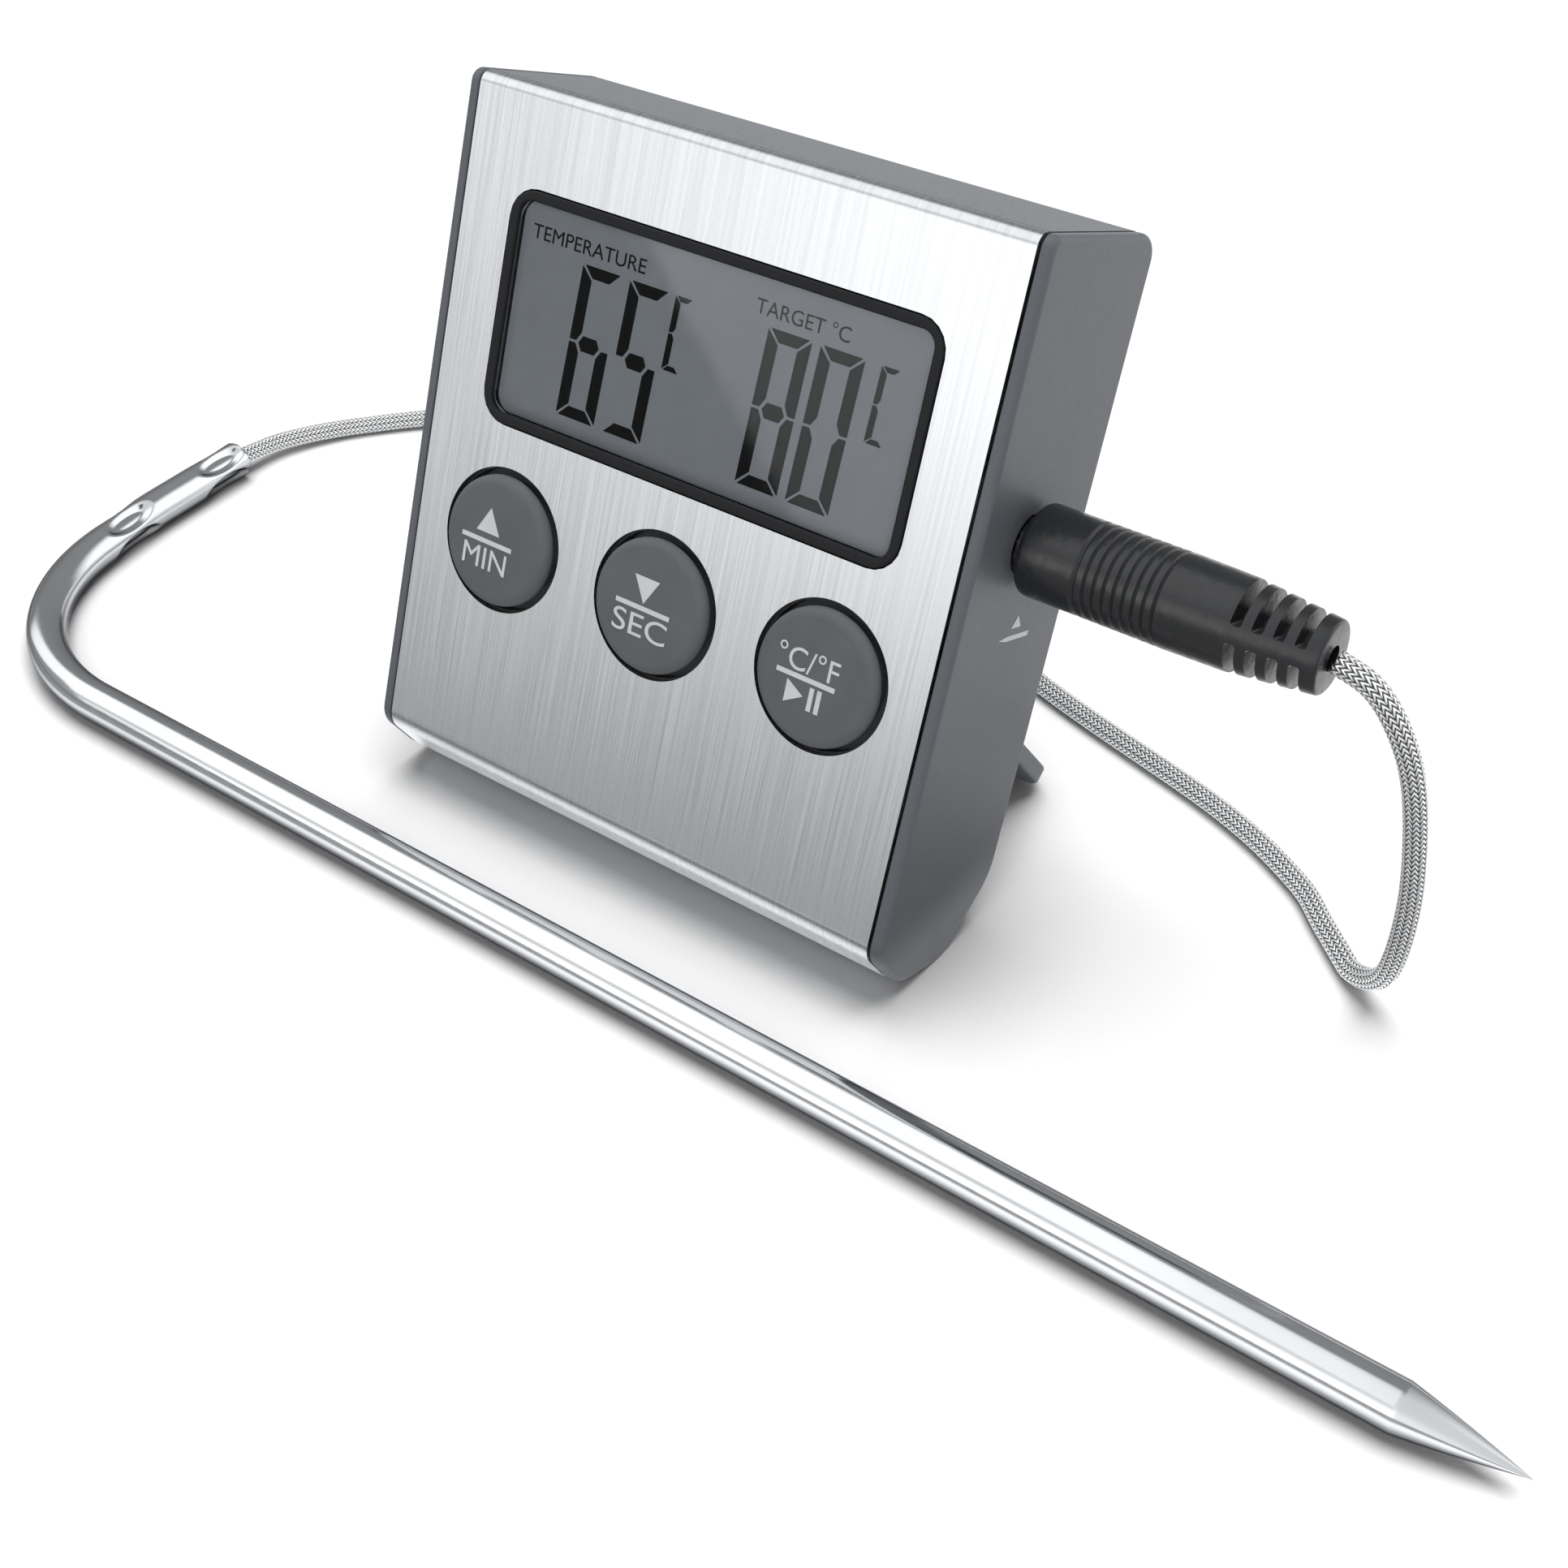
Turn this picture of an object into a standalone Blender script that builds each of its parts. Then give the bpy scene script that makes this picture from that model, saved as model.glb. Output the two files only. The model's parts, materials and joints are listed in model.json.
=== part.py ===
"""A kitchen meat thermometer: a leaning display unit on a fold-out stand, with a plug-in probe on a braided lead.

Everything is in metres with +Z up. The unit is modelled upright in its own frame (X to the right, Y back from the
steel face, Z up the face from the bottom crease) and hangs from an empty that leans it back onto the ground.
The lead and the probe lie on the ground, so they are modelled level, with X and Y measured from the ground point
straight below the middle of that crease. Last, the whole assembly moves to have the origin in the middle of its
footprint.
"""

import math

import bmesh
import bpy
from mathutils import Matrix, Vector

MM = 0.001
GAP = 0.3 * MM

# Driving dimensions of the display unit
WIDTH = 65.5 * MM
DEPTH = 20.0 * MM
TOP = 65.4 * MM
LEAN = math.radians(19.4)
END_CAP = 1.25 * MM
CAP_RIM = 0.55 * MM
STEEL = 0.6 * MM
WALL = 1.6 * MM
FRAME_WALL = 1.3 * MM
INNER_HALF = WIDTH / 2 - END_CAP - GAP

# Corners of the side view as (y, z, fillet radius), clockwise from the top of the face
SIDE_CORNERS = (
    (0.0, TOP, 1.3 * MM),
    (DEPTH, TOP, 2.5 * MM),
    (DEPTH, 1.0 * MM, 6.0 * MM),
    (13.8 * MM, -6.6 * MM, 6.5 * MM),
    (5.9 * MM, -7.3 * MM, 5.0 * MM),
    (0.0, -2.9 * MM, 3.0 * MM),
)
CHIN_LIP = 8.2 * MM
COVER_LIP = CHIN_LIP + 0.4 * MM

# Display, from the front: bezel, clear window, LCD, and the holder that presses them together
DISPLAY_BOTTOM = 33.0 * MM
DISPLAY_TOP = 55.9 * MM
DISPLAY_HALF = 25.0 * MM
DISPLAY_RADIUS = 3.0 * MM
BEZEL_SIDE = 1.05 * MM
BEZEL_PROUD = 0.2 * MM
BEZEL_BACK = 2.2 * MM
BEZEL_LEDGE = 0.2 * MM
POCKET_SIDE = 0.6 * MM
POCKET_RADIUS = 2.2 * MM
LENS_FRONT = BEZEL_LEDGE + 0.15 * MM
LENS_BACK = LENS_FRONT + 0.5 * MM
GLASS_BACK = 2.4 * MM
OPENING_MARGIN = 0.15 * MM

# Buttons
BUTTON_HEIGHT = 21.4 * MM
BUTTON_PITCH = 19.85 * MM
BUTTON_RADIUS = 6.7 * MM
BUTTON_STEM = 5.8 * MM
BUTTON_FLANGE = 8.0 * MM
BUTTON_PROUD = 1.2 * MM
WELL_RADIUS = 7.3 * MM
BUTTONS = (("minute_button", -1), ("second_button", 0), ("start_button", 1))

# Circuit board
BOARD_HALF = 26.0 * MM
BOARD_BOTTOM = 10.5 * MM
BOARD_TOP = 58.5 * MM
BOARD_FRONT = 5.3 * MM
BOARD_BACK = 6.3 * MM
BOARD_SCREWS = ((-9.9 * MM, 13.2 * MM), (9.9 * MM, 13.2 * MM))
BOARD_POST = 1.6 * MM
BOARD_PILOT = 1.0 * MM
BUZZER_Z = 43.0 * MM

# Battery, a standard 10.5 mm by 44.5 mm cell lying across the unit
CELL_RADIUS = 5.25 * MM
CELL_LENGTH = 44.5 * MM
CELL_Y = 12.6 * MM
CELL_Z = 27.35 * MM
CELL_SHIFT = -1.2 * MM
TRAY_HALF = 25.0 * MM
TRAY_WALL = 0.5 * MM
TRAY_TOP = 33.4 * MM
DOOR_HALF = 24.2 * MM
DOOR_LOW = 21.6 * MM
DOOR_HIGH = 33.0 * MM
CONTACT = 0.3 * MM

# Case screws as (x, z, y of the head's underside)
CASE_SCREWS = (
    (-27.6 * MM, 61.2 * MM, 19.0 * MM),
    (27.6 * MM, 61.2 * MM, 19.0 * MM),
    (-22.0 * MM, 5.0 * MM, 16.0 * MM),
    (22.0 * MM, 5.0 * MM, 16.0 * MM),
)
SCREW_HEAD = 0.8 * MM
SCREW_HEAD_RADIUS = 1.8 * MM
SCREW_SHANK = 0.85 * MM
SCREW_END = 6.0 * MM
POST_RADIUS = 2.0 * MM
PILOT_RADIUS = 1.2 * MM
POST_TOP = 11.5 * MM

# Magnets in the back
MAGNET_RADIUS = 5.0 * MM
MAGNET_FRONT = 17.5 * MM
MAGNET_BACK = 19.8 * MM
MAGNETS = (("magnet_left", -16.5 * MM), ("magnet_right", 16.5 * MM))
MAGNET_Z = 49.0 * MM

# Stand
HINGE_Y = 18.4 * MM
HINGE_Z = 18.0 * MM
HINGE_HOLE = 1.1 * MM
PIN_INNER = 24.4 * MM
PIN_OUTER = 29.2 * MM
HINGE_PIN = 0.8 * MM
LEG_HALF = 27.1 * MM
LEG_THICKNESS = 2.0 * MM
LEG_BARREL = 1.5 * MM
LEG_CORNER = 3.3 * MM
LEG_OPEN = math.radians(58.5)
RECESS_HALF = LEG_HALF + 0.6 * MM
RECESS_FLOOR = 16.8 * MM
RECESS_TOP = 20.0 * MM

# Plug and socket
PLUG_Y = 9.28 * MM
PLUG_Z = 37.5 * MM
PLUG_START = 33.6 * MM
PLUG_TAPER = 54.1 * MM
PLUG_END = 62.6 * MM
PLUG_RADIUS = 4.4 * MM
PLUG_TAIL_RADIUS = 3.4 * MM
PLUG_BORE = 1.45 * MM
RING_START = 39.8 * MM
RING_COUNT = 9
RING_PITCH = 0.98 * MM
RING_DEPTH = 0.25 * MM
SLOT_COUNT = 4
SLOT_PITCH = 1.9 * MM
PIN_RADIUS = 1.25 * MM
SLEEVE_START = 24.6 * MM
SLEEVE_FLANGE = 2.6 * MM
SOCKET_HALF = 2.7 * MM
SOCKET_BORE = 1.6 * MM

# Lead and probe, measured from the ground point below the middle of the crease
CABLE_RADIUS = 1.15 * MM
PROBE_RADIUS = 2.35 * MM
PROBE_BORE = 1.8 * MM
PROBE_Y = -13.6 * MM
PROBE_TIP_X = 102.8 * MM
PROBE_CONE = 10.8 * MM
PROBE_END = (-94.37 * MM, 33.36 * MM)
PROBE_BOW = (-93.1 * MM, 17.3 * MM, 45.0 * MM)
PROBE_BEND = (-87.7 * MM, PROBE_Y, 26.5 * MM)
WIRE_RADIUS = 0.6 * MM
BEAD_RADIUS = 1.1 * MM

# The lead's way in millimetres: down from the plug, round on the ground behind the unit, and back to the probe
CABLE_WAY = (
    (62.9, 21.2, 42.5), (66.3, 21.3, 41.3), (68.8, 21.7, 38.4), (70.7, 22.8, 33.4), (71.7, 24.4, 26.5),
    (72.2, 26.2, 17.2), (71.6, 27.8, 8.4), (70.1, 29.2, 3.9), (66.6, 31.7, 1.2), (61.8, 36.0, 1.15),
    (56.2, 40.8, 1.15), (44.2, 46.6, 1.15), (19.6, 53.9, 1.15), (-8.0, 64.0, 1.15), (-36.0, 72.5, 1.15),
    (-60.0, 71.5, 1.15), (-77.0, 63.6, 1.15), (-88.6, 51.8, 1.15), (-93.7, 41.9, 1.7), (-94.43, 34.16, 2.35),
)


# ---- outlines ----------------------------------------------------------------------------------------------


def fillet(before, corner, after, radius, steps):
    """Points of the arc that rounds a corner between its two neighbours."""
    before = Vector(before[:2])
    corner = Vector(corner[:2])
    after = Vector(after[:2])
    back = (before - corner).normalized()
    ahead = (after - corner).normalized()
    half_angle = back.angle(ahead) / 2
    reach = radius / math.tan(half_angle)
    centre = corner + (back + ahead).normalized() * radius / math.sin(half_angle)
    first = corner + back * reach - centre
    last = corner + ahead * reach - centre
    turn = first.angle_signed(last)
    return [centre + Matrix.Rotation(-turn * i / steps, 2) @ first for i in range(steps + 1)]


def rounded(corners, closed=True, steps=4):
    """An outline through corners given as (x, y) or (x, y, radius)."""
    points = []
    count = len(corners)
    for i, corner in enumerate(corners):
        at_end = not closed and i in (0, count - 1)
        if at_end or len(corner) < 3:
            points.append(Vector(corner[:2]))
            continue
        points += fillet(corners[i - 1], corner, corners[(i + 1) % count], corner[2], steps)
    return points


def rectangle(low_x, high_x, low_y, high_y, radius=0.0, steps=4):
    corners = [(low_x, low_y), (high_x, low_y), (high_x, high_y), (low_x, high_y)]
    if radius:
        corners = [(x, y, radius) for x, y in corners]
    return rounded(corners, steps=steps)


def circle(x, y, radius, steps=32):
    turns = [math.tau * i / steps for i in range(steps)]
    return [Vector((x + radius * math.cos(a), y + radius * math.sin(a))) for a in turns]


def inset(path, distance, closed=False):
    """A path moved to its right-hand side, corner by corner."""
    moved = []
    count = len(path)
    for i, point in enumerate(path):
        before = path[i - 1] if closed or i > 0 else None
        after = path[(i + 1) % count] if closed or i < count - 1 else None
        along = [(b - a).normalized() for a, b in ((before, point), (point, after)) if a and b]
        normals = [Vector((d.y, -d.x)) for d in along]
        middle = sum(normals, Vector((0, 0))).normalized()
        moved.append(point + middle * distance / middle.dot(normals[0]))
    return moved


def sheet(path, outer, inner):
    """The closed outline of a bent sheet that lies between two insets of an open path."""
    return inset(path, outer) + inset(path, inner)[::-1]


# ---- objects -----------------------------------------------------------------------------------------------


def clear_scene():
    for obj in list(bpy.data.objects):
        bpy.data.objects.remove(obj)


def new_collection(name):
    collection = bpy.data.collections.new(name)
    bpy.context.scene.collection.children.link(collection)
    return collection


def new_empty(name, parent=None, location=(0, 0, 0), tilt=0.0):
    empty = bpy.data.objects.new(name, None)
    empty.location = location
    empty.rotation_euler.x = tilt
    empty.parent = parent
    PARTS.objects.link(empty)
    return empty


def new_material(name, colour, roughness, metallic=0.0):
    material = bpy.data.materials.new(name)
    material.use_nodes = True
    shader = material.node_tree.nodes["Principled BSDF"]
    shader.inputs["Base Color"].default_value = (*colour, 1)
    shader.inputs["Roughness"].default_value = roughness
    shader.inputs["Metallic"].default_value = metallic
    return material


def add_object(name, data, parent, material=None):
    """A piece when it has a material, and otherwise a hidden cutter or filler."""
    obj = bpy.data.objects.new(name, data)
    obj.parent = parent
    if material:
        data.materials.append(material)
        PARTS.objects.link(obj)
    else:
        obj.hide_render = True
        obj.display_type = "WIRE"
        CUTTERS.objects.link(obj)
    return obj


def curve_to_mesh(obj):
    """Replaces a curve object with a welded mesh object of the same name, place and parent."""
    bpy.context.view_layer.update()
    evaluated = obj.evaluated_get(bpy.context.evaluated_depsgraph_get())
    mesh = bpy.data.meshes.new_from_object(evaluated)
    work = bmesh.new()
    work.from_mesh(mesh)
    bmesh.ops.remove_doubles(work, verts=work.verts, dist=0.002 * MM)
    bmesh.ops.recalc_face_normals(work, faces=work.faces)
    work.to_mesh(mesh)
    work.free()
    name = obj.name
    curve = obj.data
    solid = bpy.data.objects.new(name + "_mesh", mesh)
    solid.parent = obj.parent
    solid.matrix_basis = obj.matrix_basis
    solid.hide_render = obj.hide_render
    solid.display_type = obj.display_type
    for collection in obj.users_collection:
        collection.objects.link(solid)
    bpy.data.objects.remove(obj)
    bpy.data.curves.remove(curve)
    solid.name = name
    return solid


def plate(name, outlines, facing, low, high, parent, material=None):
    """A flat outline, with any inner outlines as holes, extruded from low to high along Y (front) or X (side)."""
    curve = bpy.data.curves.new(name, "CURVE")
    curve.dimensions = "2D"
    curve.fill_mode = "BOTH"
    curve.extrude = (high - low) / 2
    for outline in outlines:
        spline = curve.splines.new("POLY")
        spline.points.add(len(outline) - 1)
        spline.use_cyclic_u = True
        for point, place in zip(spline.points, outline):
            point.co = (place[0], place[1], 0, 1)
    obj = add_object(name, curve, parent, material)
    middle = (low + high) / 2
    if facing == "front":
        obj.location.y = middle
        obj.rotation_euler = (math.pi / 2, 0, 0)
    else:
        obj.location.x = middle
        obj.rotation_euler = (math.pi / 2, 0, math.pi / 2)
    return curve_to_mesh(obj)


def box(name, low, high, parent, material=None):
    low = Vector(low)
    high = Vector(high)
    mesh = bpy.data.meshes.new(name)
    work = bmesh.new()
    size = Matrix.Diagonal((*(high - low), 1))
    bmesh.ops.create_cube(work, size=1, matrix=Matrix.Translation((low + high) / 2) @ size)
    work.to_mesh(mesh)
    work.free()
    return add_object(name, mesh, parent, material)


def rod(name, start, end, radius, parent, material=None, sides=24):
    """A straight cylinder between two points, with its origin at the start."""
    start = Vector(start)
    along = Vector(end) - start
    mesh = bpy.data.meshes.new(name)
    work = bmesh.new()
    turn = along.to_track_quat("Z", "Y").to_matrix().to_4x4()
    place = turn @ Matrix.Translation((0, 0, along.length / 2))
    bmesh.ops.create_cone(
        work, cap_ends=True, segments=sides, radius1=radius, radius2=radius, depth=along.length, matrix=place
    )
    work.to_mesh(mesh)
    work.free()
    obj = add_object(name, mesh, parent, material)
    obj.location = start
    shade_round(mesh)
    return obj


def turned(name, profile, place, axis, parent, material, steps=32):
    """A profile of (radius, height), listed from its top down the outside, turned about an axis."""
    mesh = bpy.data.meshes.new(name)
    mesh.from_pydata([(r, 0, z) for r, z in profile], [(i, i + 1) for i in range(len(profile) - 1)], [])
    obj = add_object(name, mesh, parent, material)
    obj.location = place
    obj.rotation_mode = "QUATERNION"
    obj.rotation_quaternion = Vector(axis).to_track_quat("Z", "Y")
    screw = obj.modifiers.new("Turn", "SCREW")
    screw.steps = steps
    screw.render_steps = steps
    screw.use_merge_vertices = True
    screw.merge_threshold = 0.00001
    screw.use_smooth_shade = True
    return obj


def tube(name, points, radius, parent, material=None, radii=None, sides=2):
    """A round wire through given points, each with an optional share of the full radius."""
    curve = bpy.data.curves.new(name, "CURVE")
    curve.dimensions = "3D"
    curve.bevel_depth = radius
    curve.bevel_resolution = sides
    curve.use_fill_caps = True
    spline = curve.splines.new("POLY")
    spline.points.add(len(points) - 1)
    for i, place in enumerate(points):
        spline.points[i].co = (*place, 1)
        spline.points[i].radius = radii[i] if radii else 1.0
    spline.use_smooth = True
    return curve_to_mesh(add_object(name, curve, parent, material))


def shade_round(mesh):
    mesh.shade_smooth()
    mesh.set_sharp_from_angle(angle=math.radians(35))


def combine(target, operation, others):
    for other in others:
        modifier = target.modifiers.new(other.name, "BOOLEAN")
        modifier.operation = operation
        modifier.object = other
        modifier.solver = "EXACT"


def cut(target, *others):
    combine(target, "DIFFERENCE", others)


def join(target, *others):
    combine(target, "UNION", others)


# ---- the unit's casing ---------------------------------------------------------------------------------------


def side_outline():
    return rounded(SIDE_CORNERS)


def ground_clearance():
    """How far the crease stands above the ground when the leaning casing rests on its chin."""
    return -min(p.y * math.cos(LEAN) - p.x * math.sin(LEAN) for p in side_outline())


def underside(y):
    """The point of the casing's underside at a given y."""
    back = Vector(SIDE_CORNERS[3][:2])
    front = Vector(SIDE_CORNERS[4][:2])
    return back.lerp(front, (back.x - y) / (back.x - front.x))


def chin_path(start):
    """The front of the side view, from a given start down the face and round under the chin."""
    return rounded([*start, *SIDE_CORNERS[:3:-1], underside(CHIN_LIP)], closed=False)


def button_x(place):
    return place * BUTTON_PITCH


def display_outline(margin, radius):
    """The display's window, made bigger all round by a margin or smaller by a negative one."""
    half = DISPLAY_HALF + margin
    return rectangle(-half, half, DISPLAY_BOTTOM - margin, DISPLAY_TOP + margin, radius)


def cut_face_openings(target):
    """Cuts the display window and the three button wells."""
    outlines = [display_outline(OPENING_MARGIN, DISPLAY_RADIUS)]
    outlines += [circle(button_x(place), BUTTON_HEIGHT, WELL_RADIUS) for _, place in BUTTONS]
    for number, outline in enumerate(outlines):
        name = f"{target.name}_opening_{number}"
        cut(target, plate(name, [outline], "front", -2 * MM, 4 * MM, UNIT))


def make_front_panel():
    """The brushed steel face: one bent sheet with a short lip over the top and a long wrap under the chin."""
    path = chin_path([(SIDE_CORNERS[0][2], TOP), SIDE_CORNERS[0]])
    outline = sheet(path, 0.0, -STEEL)
    panel = plate("front_panel", [outline], "side", -INNER_HALF, INNER_HALF, UNIT, STEEL_FINISH)
    cut_face_openings(panel)


def make_inner_frame():
    """The plastic frame behind the steel, with posts for the case and board screws."""
    path = chin_path([(0.0, TOP - WALL - GAP)])
    start = STEEL + GAP
    back = start + FRAME_WALL
    outline = sheet(path, -start, -back)
    frame = plate("inner_frame", [outline], "side", -INNER_HALF, INNER_HALF, UNIT, DARK_PLASTIC)
    cut_face_openings(frame)
    posts = [(x, z, POST_RADIUS, PILOT_RADIUS, POST_TOP) for x, z, _ in CASE_SCREWS]
    posts += [(x, z, BOARD_POST, BOARD_PILOT, BOARD_FRONT - GAP) for x, z in BOARD_SCREWS]
    for number, (x, z, radius, pilot_radius, top) in enumerate(posts):
        root = (x, back - FRAME_WALL / 2, z)
        pilot_start = (x, back + GAP, z)
        post = rod(f"frame_post_{number}", root, (x, top, z), radius, UNIT, sides=16)
        pilot = rod(f"frame_pilot_{number}", pilot_start, (x, top + MM, z), pilot_radius, UNIT, sides=12)
        join(frame, post)
        cut(frame, pilot)


def cover_outline():
    """The back cover's C-shaped section, which steps in behind the stand's recess."""
    inner_back = DEPTH - WALL
    inner_top = TOP - WALL
    step_back = RECESS_FLOOR - 1.4 * MM
    step_top = RECESS_TOP + 0.9 * MM
    floor = -5.4 * MM
    front = STEEL + 1.0 * MM
    return rounded(
        [
            (front, TOP),
            *SIDE_CORNERS[1:4],
            underside(COVER_LIP),
            (COVER_LIP, floor),
            (12.2 * MM, floor, 2 * MM),
            (step_back, -1.4 * MM, 2 * MM),
            (step_back, step_top),
            (inner_back, step_top),
            (inner_back, inner_top, 1.0 * MM),
            (front, inner_top),
        ]
    )


def make_back_cover():
    """The back half of the case, with a recess for the stand and openings for the door, magnets and screws."""
    cover = plate("back_cover", [cover_outline()], "side", -INNER_HALF, INNER_HALF, UNIT, GREY_PLASTIC)
    beyond = DEPTH + MM
    inner_back = DEPTH - WALL
    for name, x in MAGNETS:
        pocket_front = MAGNET_FRONT - GAP
        boss_start = (x, pocket_front - 0.6 * MM, MAGNET_Z)
        boss_end = (x, inner_back + 0.6 * MM, MAGNET_Z)
        pocket_ends = ((x, pocket_front, MAGNET_Z), (x, beyond, MAGNET_Z))
        join(cover, rod(name + "_boss", boss_start, boss_end, MAGNET_RADIUS + 1.2 * MM, UNIT))
        cut(cover, rod(name + "_pocket", *pocket_ends, MAGNET_RADIUS + GAP, UNIT))
    for number, (x, z, under_head) in enumerate(CASE_SCREWS):
        start = POST_TOP + GAP
        sink_start = (x, under_head - GAP / 2, z)
        outside = (x, beyond, z)
        boss = rod(f"cover_boss_{number}", (x, start, z), (x, under_head - GAP, z), POST_RADIUS, UNIT, sides=16)
        hole = rod(f"cover_hole_{number}", (x, start - MM, z), outside, PILOT_RADIUS, UNIT, sides=12)
        sink = rod(f"cover_sink_{number}", sink_start, outside, SCREW_HEAD_RADIUS + 0.4 * MM, UNIT, sides=16)
        join(cover, boss)
        cut(cover, hole, sink)
    recess_low = (-RECESS_HALF, RECESS_FLOOR, -12 * MM)
    recess_high = (RECESS_HALF, beyond, RECESS_TOP)
    doorway_low = (-DOOR_HALF, inner_back - 1.4 * MM, DOOR_LOW)
    doorway_high = (DOOR_HALF, beyond, DOOR_HIGH)
    cut(cover, box("stand_recess", recess_low, recess_high, UNIT))
    cut(cover, box("door_opening", doorway_low, doorway_high, UNIT))
    for side in (-1, 1):
        start = (side * (RECESS_HALF - MM), HINGE_Y, HINGE_Z)
        end = (side * (PIN_OUTER + 0.4 * MM), HINGE_Y, HINGE_Z)
        cut(cover, rod(f"hinge_hole_{side + 1}", start, end, HINGE_HOLE, UNIT, sides=12))
    for number in range(5):
        x = (number - 2) * 2.6 * MM
        sound_ends = ((x, inner_back - 1.4 * MM, BUZZER_Z), (x, beyond, BUZZER_Z))
        cut(cover, rod(f"sound_hole_{number}", *sound_ends, 0.6 * MM, UNIT, sides=10))


def cap_web_outline():
    """The web of an end cap that reaches into the casing, clear of the walls around it."""
    front = 2.8 * MM
    back = DEPTH - WALL - GAP
    step_back = RECESS_FLOOR - 1.7 * MM
    step_top = RECESS_TOP + 1.2 * MM
    return rounded(
        [
            (front, TOP - WALL - 2 * GAP),
            (back, TOP - WALL - GAP, 1.0 * MM),
            (back, step_top),
            (step_back, step_top),
            (step_back, -1.0 * MM, 2 * MM),
            (12.0 * MM, -4.8 * MM, 2 * MM),
            (6.2 * MM, -4.2 * MM),
            (front, -1.4 * MM),
        ]
    )


def make_end_cap(name, side):
    """One of the two grey ends: a full-profile slab with a softened rim and a web that locates it."""
    outer = side * WIDTH / 2
    inner = side * (WIDTH / 2 - END_CAP)
    cap = plate(name, [side_outline()], "side", min(outer, inner), max(outer, inner), UNIT, GREY_PLASTIC)
    round_rim(cap.data, side * END_CAP / 2, CAP_RIM)
    root = inner + side * 0.2 * MM
    web_end = inner - side * 1.3 * MM
    join(cap, plate(name + "_web", [cap_web_outline()], "side", min(root, web_end), max(root, web_end), UNIT))
    if side > 0:
        start = (web_end - MM, PLUG_Y, PLUG_Z)
        end = (outer + MM, PLUG_Y, PLUG_Z)
        cut(cap, rod("socket_hole", start, end, SLEEVE_FLANGE + GAP, UNIT))


def round_rim(mesh, level, width):
    """Rounds the edge of a plate at one end of its thickness, which runs along the mesh's own Z."""
    work = bmesh.new()
    work.from_mesh(mesh)
    bmesh.ops.dissolve_limit(work, angle_limit=math.radians(0.5), verts=work.verts, edges=work.edges)
    rim = [e for e in work.edges if all(abs(v.co.z - level) < 0.01 * MM for v in e.verts)]
    bmesh.ops.bevel(work, geom=rim, offset=width, segments=3, profile=0.5, affect="EDGES", clamp_overlap=True)
    work.to_mesh(mesh)
    work.free()
    shade_round(mesh)


# ---- display ---------------------------------------------------------------------------------------------


def make_display():
    """The bezel's thin lip hides the edges of the window and the LCD, which sit in a pocket behind it."""
    outer = display_outline(0.0, DISPLAY_RADIUS)
    opening = display_outline(-BEZEL_SIDE, DISPLAY_RADIUS / 2)
    pocket = display_outline(-POCKET_SIDE, POCKET_RADIUS)
    bezel = plate("display_bezel", [outer, opening], "front", -BEZEL_PROUD, BEZEL_BACK, UNIT, BLACK_PLASTIC)
    cut(bezel, plate("bezel_pocket", [pocket], "front", BEZEL_LEDGE, BEZEL_BACK + MM, UNIT))
    pane = display_outline(-POCKET_SIDE - GAP, POCKET_RADIUS - GAP)
    plate("display_lens", [pane], "front", LENS_FRONT, LENS_BACK, UNIT, CLEAR_PLASTIC)
    plate("display_glass", [pane], "front", LENS_BACK + OPENING_MARGIN, GLASS_BACK, UNIT, LCD_GLASS)
    holder_front = GLASS_BACK + GAP
    holder_back = BOARD_FRONT - GAP
    holder = display_outline(2.3 * MM, 1.0 * MM)
    hole = display_outline(-2.5 * MM, 1.0 * MM)
    plate("display_holder", [holder, hole], "front", holder_front, holder_back, UNIT, WHITE_PLASTIC)
    strip_half = DISPLAY_HALF - 3 * MM
    strip_top = DISPLAY_TOP - 3 * MM
    strip_low = (-strip_half, holder_front, strip_top - 2 * MM)
    strip_high = (strip_half, holder_back, strip_top)
    box("contact_strip", strip_low, strip_high, UNIT, PINK_RUBBER)


# ---- buttons ---------------------------------------------------------------------------------------------


def make_buttons():
    """Each button is a low cap on a narrower stem, with a flange that stops it behind the frame."""
    proud = BUTTON_PROUD
    radius = BUTTON_RADIUS
    flange_top = -2.5 * MM
    flange_bottom = flange_top - 0.6 * MM
    actuator = 1.5 * MM
    profile = [
        (0, proud + 0.1 * MM),
        (radius - 1.0 * MM, proud),
        (radius - 0.4 * MM, proud - 0.12 * MM),
        (radius, proud - 0.5 * MM),
        (radius, -0.1 * MM),
        (BUTTON_STEM, -0.1 * MM),
        (BUTTON_STEM, flange_top),
        (BUTTON_FLANGE, flange_top),
        (BUTTON_FLANGE, flange_bottom),
        (actuator, flange_bottom),
        (actuator, flange_bottom - 0.5 * MM),
        (0, flange_bottom - 0.5 * MM),
    ]
    for name, place in BUTTONS:
        centre = (button_x(place), 0, BUTTON_HEIGHT)
        turned(name, profile, centre, (0, -1, 0), UNIT, BUTTON_RUBBER, steps=28)


def make_switch_domes():
    profile = [
        (0, 0.5 * MM),
        (1.4 * MM, 0.45 * MM),
        (2.6 * MM, 0.2 * MM),
        (3.0 * MM, 0.1 * MM),
        (3.0 * MM, 0),
        (0, 0),
    ]
    for name, place in BUTTONS:
        dome = name.replace("button", "switch_dome")
        centre = (button_x(place), BOARD_FRONT - GAP, BUTTON_HEIGHT)
        turned(dome, profile, centre, (0, -1, 0), UNIT, SPRING_STEEL, steps=20)


# ---- electronics -----------------------------------------------------------------------------------------


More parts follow.
